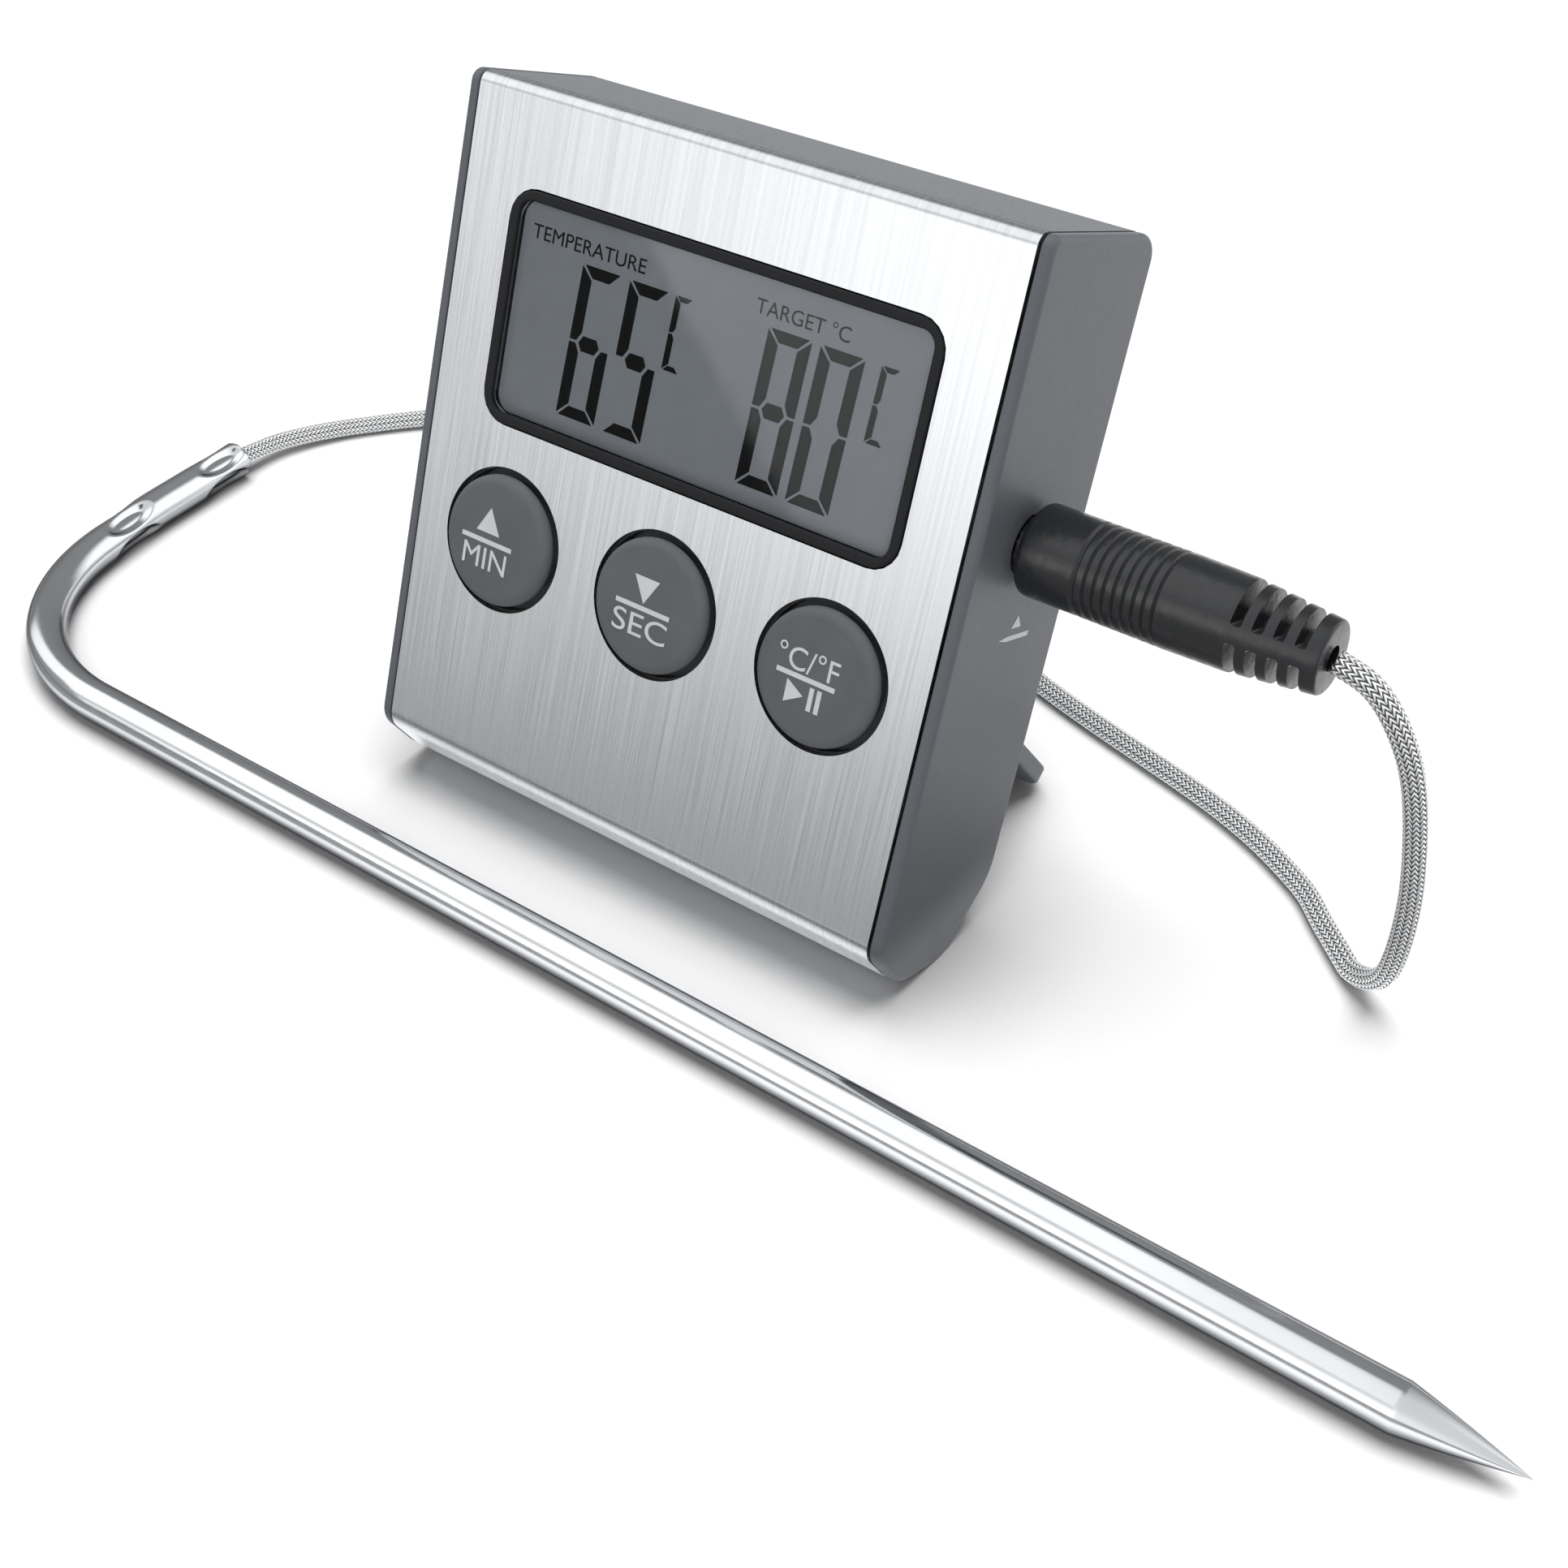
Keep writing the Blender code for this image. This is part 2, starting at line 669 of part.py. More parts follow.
def make_board():
    """The board with its chip, crystal, buzzer and two screws."""
    outline = rectangle(-BOARD_HALF, BOARD_HALF, BOARD_BOTTOM, BOARD_TOP, 1.0 * MM, steps=2)
    holes = [circle(x, z, PILOT_RADIUS, 12) for x, z in BOARD_SCREWS]
    plate("circuit_board", [outline, *holes], "front", BOARD_FRONT, BOARD_BACK, UNIT, BOARD_GREEN)
    mount = BOARD_BACK + GAP
    chip_x = -13 * MM
    chip_z = 46 * MM
    chip_half = 4 * MM
    chip_low = (chip_x - chip_half, mount, chip_z - chip_half)
    chip_high = (chip_x + chip_half, mount + 1.2 * MM, chip_z + chip_half)
    box("microcontroller", chip_low, chip_high, UNIT, CHIP_BLACK)
    crystal_ends = ((10 * MM, mount, 52 * MM), (10 * MM, mount + 3 * MM, 52 * MM))
    rod("quartz_crystal", *crystal_ends, 1.4 * MM, UNIT, BRIGHT_METAL)
    rod("buzzer", (0, mount, BUZZER_Z), (0, mount + 4 * MM, BUZZER_Z), 6.0 * MM, UNIT, CHIP_BLACK, sides=32)
    head = [(0, 0.9 * MM), (1.3 * MM, 0.9 * MM), (1.7 * MM, 0.5 * MM), (1.7 * MM, 0)]
    shank = [(0.7 * MM, 0), (0.7 * MM, -3.2 * MM), (0, -3.6 * MM)]
    for number, (x, z) in enumerate(BOARD_SCREWS, 1):
        turned(f"board_screw_{number}", head + shank, (x, mount, z), (0, 1, 0), UNIT, BRIGHT_METAL, steps=16)


def make_case_screws():
    """Four screws with a cross recess in each head."""
    bevel_radius = SCREW_HEAD_RADIUS - 0.6 * MM
    head = [(0, SCREW_HEAD), (bevel_radius, SCREW_HEAD), (SCREW_HEAD_RADIUS, SCREW_HEAD / 2), (SCREW_HEAD_RADIUS, 0)]
    arm = 1.2 * MM
    arm_width = 0.25 * MM
    for number, (x, z, under_head) in enumerate(CASE_SCREWS, 1):
        reach = under_head - SCREW_END
        shank = [(SCREW_SHANK, 0), (SCREW_SHANK, MM - reach), (0, -reach)]
        place = (x, under_head, z)
        screw = turned(f"case_screw_{number}", head + shank, place, (0, 1, 0), UNIT, BRIGHT_METAL, steps=16)
        floor = under_head + 0.5 * MM
        top = under_head + 2 * MM
        for name, half_x, half_z in (("slot", arm_width, arm), ("bar", arm, arm_width)):
            low = (x - half_x, floor, z - half_z)
            high = (x + half_x, top, z + half_z)
            cut(screw, box(f"screw_{name}_{number}", low, high, UNIT))


def make_battery_bay():
    """The open tray with the cell, a flat contact at one end and a conical coil spring at the other."""
    low_z = RECESS_TOP + 1.3 * MM
    front = BOARD_BACK + GAP
    back = DEPTH - WALL - 0.5 * MM
    tray = box("battery_tray", (-TRAY_HALF, front, low_z), (TRAY_HALF, back, TRAY_TOP), UNIT, DARK_PLASTIC)
    hollow_low = (-TRAY_HALF + TRAY_WALL, front + TRAY_WALL, low_z + TRAY_WALL)
    hollow_high = (TRAY_HALF - TRAY_WALL, back + MM, TRAY_TOP - TRAY_WALL)
    cut(tray, box("tray_hollow", hollow_low, hollow_high, UNIT))
    half = CELL_LENGTH / 2
    nub = 0.9 * MM
    nub_radius = 1.8 * MM
    edge = 0.3 * MM
    cell = [
        (0, half),
        (nub_radius, half),
        (nub_radius, half - nub),
        (CELL_RADIUS - edge, half - nub),
        (CELL_RADIUS, half - nub - edge),
        (CELL_RADIUS, -half + edge),
        (CELL_RADIUS - edge, -half),
        (0, -half),
    ]
    turned("battery", cell, (CELL_SHIFT, CELL_Y, CELL_Z), (-1, 0, 0), UNIT, CELL_WRAP, steps=24)
    contact_x = CELL_SHIFT - half - GAP
    contact_low = (contact_x - CONTACT, CELL_Y - 3.5 * MM, CELL_Z - 4 * MM)
    contact_high = (contact_x, CELL_Y + 3.5 * MM, CELL_Z + 4 * MM)
    box("battery_contact_plate", contact_low, contact_high, UNIT, BRIGHT_METAL)
    tube("battery_spring", spring_way(CELL_SHIFT + half + 0.7 * MM), CONTACT, UNIT, BRIGHT_METAL, sides=0)


def spring_way(start_x):
    """Three turns of a coil that widens away from the cell."""
    turns = 3
    steps = 12 * turns
    inner_radius = 1.8 * MM
    growth = 1.8 * MM
    length = 2.2 * MM
    way = []
    for i in range(steps + 1):
        share = i / steps
        angle = math.tau * turns * share
        radius = inner_radius + growth * share
        way.append((start_x + length * share, CELL_Y + radius * math.cos(angle), CELL_Z + radius * math.sin(angle)))
    return way


def make_battery_door():
    """A flush door with four raised ribs to grip it by."""
    half = DOOR_HALF - GAP
    outline = rectangle(-half, half, DOOR_LOW + GAP, DOOR_HIGH - GAP, 0.8 * MM, steps=3)
    door = plate("battery_door", [outline], "front", DEPTH - WALL + GAP, DEPTH, UNIT, GREY_PLASTIC)
    middle = (DOOR_LOW + DOOR_HIGH) / 2
    rib_half = 0.5 * MM
    rib_reach = 3 * MM
    for number in range(4):
        x = (number - 1.5) * 2.4 * MM
        low = (x - rib_half, DEPTH - 0.5 * MM, middle - rib_reach)
        high = (x + rib_half, DEPTH + 0.4 * MM, middle + rib_reach)
        join(door, box(f"door_grip_{number}", low, high, UNIT))


def make_magnets():
    for name, x in MAGNETS:
        ends = ((x, MAGNET_FRONT, MAGNET_Z), (x, MAGNET_BACK, MAGNET_Z))
        rod(name, *ends, MAGNET_RADIUS, UNIT, BRIGHT_METAL, sides=32)


# ---- stand -----------------------------------------------------------------------------------------------


def leg_length():
    """The leg's length that puts its lower tip edge on the ground when it is open."""
    hinge_height = ground_clearance() + HINGE_Z * math.cos(LEAN) - HINGE_Y * math.sin(LEAN)
    below_level = math.pi / 2 - LEG_OPEN + LEAN
    return (hinge_height - LEG_THICKNESS / 2 * math.cos(below_level)) / math.sin(below_level)


def make_stand():
    """The leg hangs from its hinge along -Z when folded, and the hinge empty swings it out."""
    hinge = new_empty("stand_hinge", UNIT, (0, HINGE_Y, HINGE_Z), LEG_OPEN)
    length = leg_length()
    corners = [
        (-LEG_HALF, -length, LEG_CORNER),
        (LEG_HALF, -length, LEG_CORNER),
        (LEG_HALF, 0),
        (-LEG_HALF, 0),
    ]
    half = LEG_THICKNESS / 2
    leg = plate("stand_leg", [rounded(corners)], "front", -half, half, hinge, GREY_PLASTIC)
    join(leg, rod("leg_barrel", (-LEG_HALF, 0, 0), (LEG_HALF, 0, 0), LEG_BARREL, hinge, sides=20))
    for side, name in ((-1, "hinge_pin_left"), (1, "hinge_pin_right")):
        bore_ends = ((side * (PIN_INNER - GAP), 0, 0), (side * (PIN_OUTER + MM), 0, 0))
        pin_ends = ((side * PIN_INNER, 0, 0), (side * PIN_OUTER, 0, 0))
        cut(leg, rod(name + "_bore", *bore_ends, HINGE_HOLE, hinge, sides=16))
        rod(name, *pin_ends, HINGE_PIN, hinge, BRIGHT_METAL, sides=16)


# ---- plug and socket -------------------------------------------------------------------------------------


def make_socket():
    """The jack socket: a square body with a round collar that reaches into the right end cap."""
    half = SOCKET_HALF
    body_start = 19.5 * MM
    body_end = 29.6 * MM
    collar_end = 32.3 * MM
    low = (body_start, PLUG_Y - half, PLUG_Z - half)
    high = (body_end, PLUG_Y + half, PLUG_Z + half)
    socket = box("probe_socket", low, high, UNIT, BLACK_PLASTIC)
    axis = (PLUG_Y, PLUG_Z)
    join(socket, rod("socket_collar", (body_end - 0.6 * MM, *axis), (collar_end, *axis), 2.5 * MM, UNIT, sides=32))
    cut(socket, rod("socket_bore", (body_start - MM, *axis), (collar_end + MM, *axis), SOCKET_BORE, UNIT))
    leaf_y = PLUG_Y + half + GAP
    leaf_half = 1.2 * MM
    leaf_low = (body_start + 0.5 * MM, leaf_y, PLUG_Z - leaf_half)
    leaf_high = (body_end - 1.6 * MM, leaf_y + CONTACT, PLUG_Z + leaf_half)
    box("socket_contact", leaf_low, leaf_high, UNIT, SPRING_STEEL)


def boot_profile():
    """The plug's moulded grip as (radius, distance from its front face), from the tail to the front and back."""
    length = PLUG_END - PLUG_START
    taper = PLUG_TAPER - PLUG_START
    rings = RING_START - PLUG_START
    tail_edge = 0.3 * MM
    nose_edge = 0.6 * MM
    profile = [
        (PLUG_BORE, length),
        (PLUG_TAIL_RADIUS - tail_edge, length),
        (PLUG_TAIL_RADIUS, length - tail_edge),
        (PLUG_RADIUS - RING_DEPTH / 2, taper),
    ]
    for ring in reversed(range(RING_COUNT)):
        start = rings + ring * RING_PITCH
        profile.append((PLUG_RADIUS, start + 0.7 * RING_PITCH))
        profile.append((PLUG_RADIUS, start + 0.3 * RING_PITCH))
        profile.append((PLUG_RADIUS - RING_DEPTH, start))
    profile += [
        (PLUG_RADIUS, rings - 0.3 * RING_PITCH),
        (PLUG_RADIUS, nose_edge),
        (PLUG_RADIUS - nose_edge, 0),
        (PLUG_BORE, 0),
    ]
    return [*profile, profile[0]]


def make_plug():
    """The grip is bored right through, and the pin's tail and the cable reach into it from either end."""
    start = (PLUG_START, PLUG_Y, PLUG_Z)
    boot = turned("plug_grip", boot_profile(), start, (1, 0, 0), UNIT, PLUG_RUBBER, steps=20)
    slot_half = 0.5 * MM
    far = 6 * MM
    for number in range(SLOT_COUNT):
        x = PLUG_TAPER + 0.9 * MM + number * SLOT_PITCH
        near = (2.1 - 0.12 * number) * MM
        for side in (-1, 1):
            levels = sorted((PLUG_Z + side * near, PLUG_Z + side * far))
            low = (x - slot_half, PLUG_Y - far, levels[0])
            high = (x + slot_half, PLUG_Y + far, levels[1])
            cut(boot, box(f"relief_slot_{number}_{side + 1}", low, high, UNIT))
    make_jack_pin()


def make_jack_pin():
    """The pin inside the grip: a flanged sleeve, an insulating ring, and a tip with a waist."""
    tail = 45 * MM - SLEEVE_START
    shoulder = PLUG_START - SLEEVE_START
    neck_radius = 1.1 * MM
    sleeve = [
        (0, tail),
        (neck_radius, tail),
        (neck_radius, shoulder),
        (SLEEVE_FLANGE, shoulder - GAP),
        (SLEEVE_FLANGE, shoulder - 3 * GAP),
        (PIN_RADIUS, shoulder - 3 * GAP),
        (PIN_RADIUS, 0),
        (0, 0),
    ]
    turned("plug_sleeve", sleeve, (SLEEVE_START, PLUG_Y, PLUG_Z), (1, 0, 0), UNIT, BRIGHT_METAL, steps=20)
    space = 0.2 * MM
    ring_end = (SLEEVE_START - space, PLUG_Y, PLUG_Z)
    ring_start = (SLEEVE_START - space - 0.8 * MM, PLUG_Y, PLUG_Z)
    rod("plug_insulator", ring_start, ring_end, PIN_RADIUS - 0.1 * MM, UNIT, BLACK_PLASTIC, sides=20)
    length = 3.0 * MM
    tip = [
        (0, length),
        (PIN_RADIUS, length),
        (PIN_RADIUS, 2.2 * MM),
        (0.85 * MM, 1.8 * MM),
        (PIN_RADIUS, 1.1 * MM),
        (0.5 * MM, 0.15 * MM),
        (0, 0),
    ]
    tip_start = (ring_start[0] - space - length, PLUG_Y, PLUG_Z)
    turned("plug_tip", tip, tip_start, (1, 0, 0), UNIT, BRIGHT_METAL, steps=20)


# ---- lead and probe --------------------------------------------------------------------------------------


def smooth_way(points, steps):
    """A Catmull-Rom curve through the points."""
    points = [Vector(p) for p in points]
    ends = [2 * points[0] - points[1], *points, 2 * points[-1] - points[-2]]
    way = []
    for a, b, c, d in zip(ends, ends[1:], ends[2:], ends[3:]):
        for i in range(steps):
            t = i / steps
            bend = 2 * a - 5 * b + 4 * c - d
            twist = 3 * b - a - 3 * c + d
            way.append((2 * b + (c - a) * t + bend * t * t + twist * t * t * t) / 2)
    return [*way, points[-1]]


def make_cable():
    way = smooth_way([Vector(p) * MM for p in CABLE_WAY], 3)
    for point in way:
        point.z = max(point.z, CABLE_RADIUS)
    tube("cable", way, CABLE_RADIUS, ASSEMBLY, BRAIDED_STEEL, sides=2)


def probe_way(start_x, steps=8):
    """The probe's centre line on the ground, from a given x round the bend and the bowed handle to the lead end."""
    corners = [(start_x, PROBE_Y), PROBE_BEND, PROBE_BOW, PROBE_END]
    return [Vector((*p, PROBE_RADIUS)) for p in rounded(corners, closed=False, steps=steps)]


def beyond(way, distance):
    """The point past a path's end, or short of it when the distance is negative."""
    return way[-1] + (way[-1] - way[-2]).normalized() * distance


def make_probe():
    """A pointed tube, bored from its open end, with the sensor and its wire inside."""
    pivot = Vector((*PROBE_END, PROBE_RADIUS))
    swing = new_empty("probe_swing", ASSEMBLY, pivot)
    shoulder_x = PROBE_TIP_X - PROBE_CONE

    def from_pivot(points):
        return [p - pivot for p in points]

    tip = Vector((PROBE_TIP_X, PROBE_Y, PROBE_RADIUS))
    outer_way = [tip, *probe_way(shoulder_x)]
    radii = [0.06] + [1.0] * (len(outer_way) - 1)
    tube_body = tube("probe_tube", from_pivot(outer_way), PROBE_RADIUS, swing, POLISHED_STEEL, radii, sides=4)
    bore_way = probe_way(shoulder_x - 2 * MM)
    bore_way.append(beyond(bore_way, 2 * MM))
    cut(tube_body, tube("probe_bore", from_pivot(bore_way), PROBE_BORE, swing, None, sides=3))
    bead_x = shoulder_x - 3.6 * MM
    make_bead(swing, Vector((bead_x, PROBE_Y, PROBE_RADIUS)) - pivot)
    wires = probe_way(bead_x - BEAD_RADIUS - 0.4 * MM)
    wires[-1] = beyond(wires, -MM)
    tube("sensor_wires", from_pivot(wires), WIRE_RADIUS, swing, SENSOR_WIRE, sides=1)


def make_bead(parent, place):
    mesh = bpy.data.meshes.new("thermistor")
    work = bmesh.new()
    bmesh.ops.create_uvsphere(work, u_segments=12, v_segments=8, radius=BEAD_RADIUS)
    work.to_mesh(mesh)
    work.free()
    mesh.shade_smooth()
    bead = add_object("thermistor", mesh, parent, SENSOR_EPOXY)
    bead.location = place


def centre_on_footprint():
    """Moves the assembly so that the origin is on the ground in the middle of the whole object's box."""
    bpy.context.view_layer.update()
    graph = bpy.context.evaluated_depsgraph_get()
    corners = []
    for obj in PARTS.objects:
        if obj.type == "MESH":
            evaluated = obj.evaluated_get(graph)
            corners += [evaluated.matrix_world @ v.co for v in evaluated.data.vertices]
    for axis in (0, 1):
        values = [c[axis] for c in corners]
        ASSEMBLY.location[axis] = -(min(values) + max(values)) / 2


clear_scene()
PARTS = new_collection("meat_thermometer")
CUTTERS = new_collection("cutters")

STEEL_FINISH = new_material("brushed_steel", (0.72, 0.73, 0.74), 0.32, 1.0)
POLISHED_STEEL = new_material("polished_steel", (0.80, 0.81, 0.82), 0.12, 1.0)
BRAIDED_STEEL = new_material("braided_steel", (0.62, 0.64, 0.66), 0.35, 1.0)
BRIGHT_METAL = new_material("nickel_plate", (0.70, 0.70, 0.68), 0.25, 1.0)
SPRING_STEEL = new_material("spring_steel", (0.55, 0.55, 0.53), 0.3, 1.0)
GREY_PLASTIC = new_material("slate_plastic", (0.105, 0.115, 0.125), 0.45)
DARK_PLASTIC = new_material("dark_plastic", (0.03, 0.03, 0.032), 0.5)
BLACK_PLASTIC = new_material("black_plastic", (0.022, 0.023, 0.025), 0.4)
WHITE_PLASTIC = new_material("white_plastic", (0.75, 0.75, 0.73), 0.5)
CLEAR_PLASTIC = new_material("clear_plastic", (0.85, 0.88, 0.9), 0.05)
LCD_GLASS = new_material("lcd_grey", (0.19, 0.21, 0.22), 0.2)
BUTTON_RUBBER = new_material("button_rubber", (0.09, 0.1, 0.11), 0.6)
PLUG_RUBBER = new_material("plug_rubber", (0.02, 0.022, 0.024), 0.35)
PINK_RUBBER = new_material("contact_rubber", (0.6, 0.35, 0.35), 0.7)
BOARD_GREEN = new_material("board_green", (0.02, 0.15, 0.05), 0.4)
CHIP_BLACK = new_material("chip_black", (0.02, 0.02, 0.02), 0.5)
CELL_WRAP = new_material("cell_wrap", (0.15, 0.15, 0.16), 0.3)
SENSOR_EPOXY = new_material("sensor_epoxy", (0.1, 0.05, 0.02), 0.4)
SENSOR_WIRE = new_material("sensor_wire", (0.7, 0.65, 0.6), 0.4)

ASSEMBLY = new_empty("assembly")
UNIT = new_empty("unit_lean", ASSEMBLY, (0, 0, ground_clearance()), -LEAN)

make_front_panel()
make_inner_frame()
make_back_cover()
make_end_cap("left_end_cap", -1)
make_end_cap("right_end_cap", 1)
make_display()
make_buttons()
make_switch_domes()
make_board()
make_case_screws()
make_battery_bay()
make_battery_door()
make_magnets()
make_stand()
make_socket()
make_plug()
make_cable()
make_probe()
centre_on_footprint()
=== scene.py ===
"""The looks of a kitchen meat thermometer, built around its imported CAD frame.

Pieces of the display unit are modelled in the unit's own axes: X to the right, Y back from the steel face,
and Z up the face from its bottom crease. The matrix UNIT places them, from the stand's hinge and the buttons'
travel. The lead and the probe are modelled on the ground. Lengths are in metres.
"""

import json
import math

import bmesh
import bpy
import numpy as np
from mathutils import Euler, Matrix, Vector


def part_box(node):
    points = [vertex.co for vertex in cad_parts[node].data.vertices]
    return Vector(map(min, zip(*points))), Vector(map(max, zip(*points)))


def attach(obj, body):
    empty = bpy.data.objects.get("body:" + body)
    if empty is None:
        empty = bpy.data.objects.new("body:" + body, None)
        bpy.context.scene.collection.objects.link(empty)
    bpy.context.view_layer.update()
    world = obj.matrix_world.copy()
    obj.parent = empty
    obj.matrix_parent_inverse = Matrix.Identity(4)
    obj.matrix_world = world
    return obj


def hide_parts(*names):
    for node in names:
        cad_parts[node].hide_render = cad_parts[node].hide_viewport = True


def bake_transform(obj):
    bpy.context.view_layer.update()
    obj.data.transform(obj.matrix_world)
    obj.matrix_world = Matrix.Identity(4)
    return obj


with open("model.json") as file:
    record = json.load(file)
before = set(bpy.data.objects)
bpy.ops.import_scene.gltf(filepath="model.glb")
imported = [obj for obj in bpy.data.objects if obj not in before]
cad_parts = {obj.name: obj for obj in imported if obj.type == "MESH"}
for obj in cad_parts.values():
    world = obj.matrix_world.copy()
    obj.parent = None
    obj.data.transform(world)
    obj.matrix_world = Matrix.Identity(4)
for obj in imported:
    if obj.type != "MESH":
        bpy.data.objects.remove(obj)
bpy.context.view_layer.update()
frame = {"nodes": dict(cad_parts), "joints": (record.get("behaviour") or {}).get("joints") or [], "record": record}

MM = 0.001
GAP = 0.3 * MM
SHARP_ANGLE = 35

JOINTS = {joint["name"]: joint for joint in frame["joints"]}
HINGE_IN_UNIT = Vector((0, 18.4 * MM, 18.0 * MM))


def unit_axes():
    """The display unit's own axes as a matrix."""
    right = Vector((1, 0, 0))
    back = Vector(JOINTS["start_press"]["axis"]).normalized()
    up = right.cross(back)
    turn = Matrix((right, back, up)).transposed()
    origin = Vector(JOINTS["stand_fold"]["pos_m"]) - turn @ HINGE_IN_UNIT
    return Matrix.Translation(origin) @ turn.to_4x4()


UNIT = unit_axes()
TO_UNIT = UNIT.inverted()


def unit_box(node):
    """Lowest and highest corner of a CAD node, in the unit's axes."""
    points = [TO_UNIT @ v.co for v in frame["nodes"][node].data.vertices]
    low = Vector(min(p[axis] for p in points) for axis in range(3))
    high = Vector(max(p[axis] for p in points) for axis in range(3))
    return low, high


def unit_middle(node):
    low, high = unit_box(node)
    return (low + high) / 2


CAP = unit_box("right_end_cap")
PANEL = unit_box("front_panel")
BEZEL = unit_box("display_bezel")
LENS = unit_box("display_lens")
GLASS = unit_box("display_glass")
DOOR = unit_box("battery_door")
PLUG = unit_box("plug_grip")
LEG = unit_box("stand_leg")

HALF_WIDTH = CAP[1].x
DEPTH = CAP[1].y
TOP = CAP[1].z
END_CAP = HALF_WIDTH - PANEL[1].x - GAP
STEEL = 0.6 * MM
WALL = 1.6 * MM

# Corners of the side view as (y, z, fillet radius), clockwise from the top of the face
SIDE_CORNERS = (
    (0.0, TOP, 1.3 * MM),
    (DEPTH, TOP, 2.5 * MM),
    (DEPTH, 1.0 * MM, 6.0 * MM),
    (13.8 * MM, -6.6 * MM, 6.5 * MM),
    (5.9 * MM, -7.3 * MM, 5.0 * MM),
    (0.0, -2.9 * MM, 3.0 * MM),
)
CHIN_LIP = 8.2 * MM
COVER_LIP = CHIN_LIP + 0.4 * MM

BUTTON_RADIUS = 6.7 * MM
BUTTON_STEM = 5.8 * MM
WELL_RADIUS = 7.3 * MM
BUTTON_PROUD = 1.2 * MM
BUTTONS = ("minute_button", "second_button", "start_button")

RECESS_HALF = LEG[1].x + 0.6 * MM
RECESS_FLOOR = 16.8 * MM
RECESS_TOP = 20.0 * MM
SCREW_HEAD = 0.8 * MM
MAGNETS = ("magnet_left", "magnet_right")

PROBE_PIVOT = Vector(JOINTS["probe_swing"]["pos_m"])


# ---- outlines ----


def fillet(before, corner, after, radius, steps):
    """Points of the arc that rounds a corner between its two neighbours."""
    before = Vector(before[:2])
    corner = Vector(corner[:2])
    after = Vector(after[:2])
    back = (before - corner).normalized()
    ahead = (after - corner).normalized()
    half_angle = back.angle(ahead) / 2
    reach = radius / math.tan(half_angle)
    centre = corner + (back + ahead).normalized() * radius / math.sin(half_angle)
    first = corner + back * reach - centre
    last = corner + ahead * reach - centre
    turn = first.angle_signed(last)
    return [centre + Matrix.Rotation(-turn * i / steps, 2) @ first for i in range(steps + 1)]


def rounded(corners, closed=True, steps=10):
    """An outline through corners given as (x, y) or (x, y, radius)."""
    points = []
    count = len(corners)
    for i, corner in enumerate(corners):
        at_end = not closed and i in (0, count - 1)
        if at_end or len(corner) < 3:
            points.append(Vector(corner[:2]))
            continue
        points += fillet(corners[i - 1], corner, corners[(i + 1) % count], corner[2], steps)
    return points


def rectangle(low_x, high_x, low_y, high_y, radius=0.0, steps=8):
    corners = [(low_x, low_y), (high_x, low_y), (high_x, high_y), (low_x, high_y)]
    if radius:
        corners = [(x, y, radius) for x, y in corners]
    return rounded(corners, steps=steps)


def inset(path, distance, closed=False):
    """A path moved to its right-hand side, corner by corner."""
    moved = []
    count = len(path)
    for i, point in enumerate(path):
        before = path[i - 1] if closed or i > 0 else None
        after = path[(i + 1) % count] if closed or i < count - 1 else None
        along = [(b - a).normalized() for a, b in ((before, point), (point, after)) if a and b]
        normals = [Vector((d.y, -d.x)) for d in along]
        middle = sum(normals, Vector((0, 0))).normalized()
        moved.append(point + middle * distance / middle.dot(normals[0]))
    return moved


def sheet(path, outer, inner):
    """The closed outline of a bent sheet that lies between two insets of an open path."""
    return inset(path, outer) + inset(path, inner)[::-1]


def area(outline):
    """The signed area inside an outline, positive when it runs anticlockwise."""
    return sum(a.x * b.y - b.x * a.y for a, b in zip(outline, [*outline[1:], outline[0]])) / 2


# ---- meshes ----


def add_object(name, data, place=None):
    obj = bpy.data.objects.new(name, data)
    bpy.context.scene.collection.objects.link(obj)
    if place is not None:
        obj.matrix_world = place
    return obj


def shade(mesh, sharp=SHARP_ANGLE):
    """Smooth shading, with sharp edges kept where faces meet at more than an angle in degrees."""
    mesh.shade_smooth()
    mesh.set_sharp_from_angle(angle=math.radians(sharp))


def mesh_object(name, vertices, faces, place=None, sharp=SHARP_ANGLE):
    mesh = bpy.data.meshes.new(name)
    mesh.from_pydata([tuple(v) for v in vertices], [], faces)
    work = bmesh.new()
    work.from_mesh(mesh)
    bmesh.ops.remove_doubles(work, verts=work.verts, dist=0.001 * MM)
    bmesh.ops.recalc_face_normals(work, faces=work.faces)
    work.to_mesh(mesh)
    work.free()
    shade(mesh, sharp)
    return add_object(name, mesh, UNIT if place is None else place)


def evaluated_mesh(obj):
    """A new mesh of what an object's modifiers or letters make."""
    bpy.context.view_layer.update()
    return bpy.data.meshes.new_from_object(obj.evaluated_get(bpy.context.evaluated_depsgraph_get()))


def skin_faces(rows, count, looped=False):
    """Faces over rows of points with the same count, capped at both ends unless they loop."""
    faces = []
    for row in range(rows if looped else rows - 1):
        here = row * count
        ahead = (row + 1) % rows * count
        for i in range(count):
            j = (i + 1) % count
            faces.append((here + i, here + j, ahead + j, ahead + i))
    if not looped:
        faces.append(tuple(reversed(range(count))))
        faces.append(tuple(range((rows - 1) * count, rows * count)))
    return faces


def stack(name, sections, place=None, looped=False, sharp=SHARP_ANGLE):
    """A skin over a row of closed sections with equal numbers of points."""
    vertices = [v for section in sections for v in section]
    return mesh_object(name, vertices, skin_faces(len(sections), len(sections[0]), looped), place, sharp)


def front_section(outline, y):
    """An outline in XZ at a given y."""
    return [Vector((p.x, y, p.y)) for p in outline]


def side_section(outline, x):
    """An outline in YZ at a given x."""
    return [Vector((x, p.x, p.y)) for p in outline]


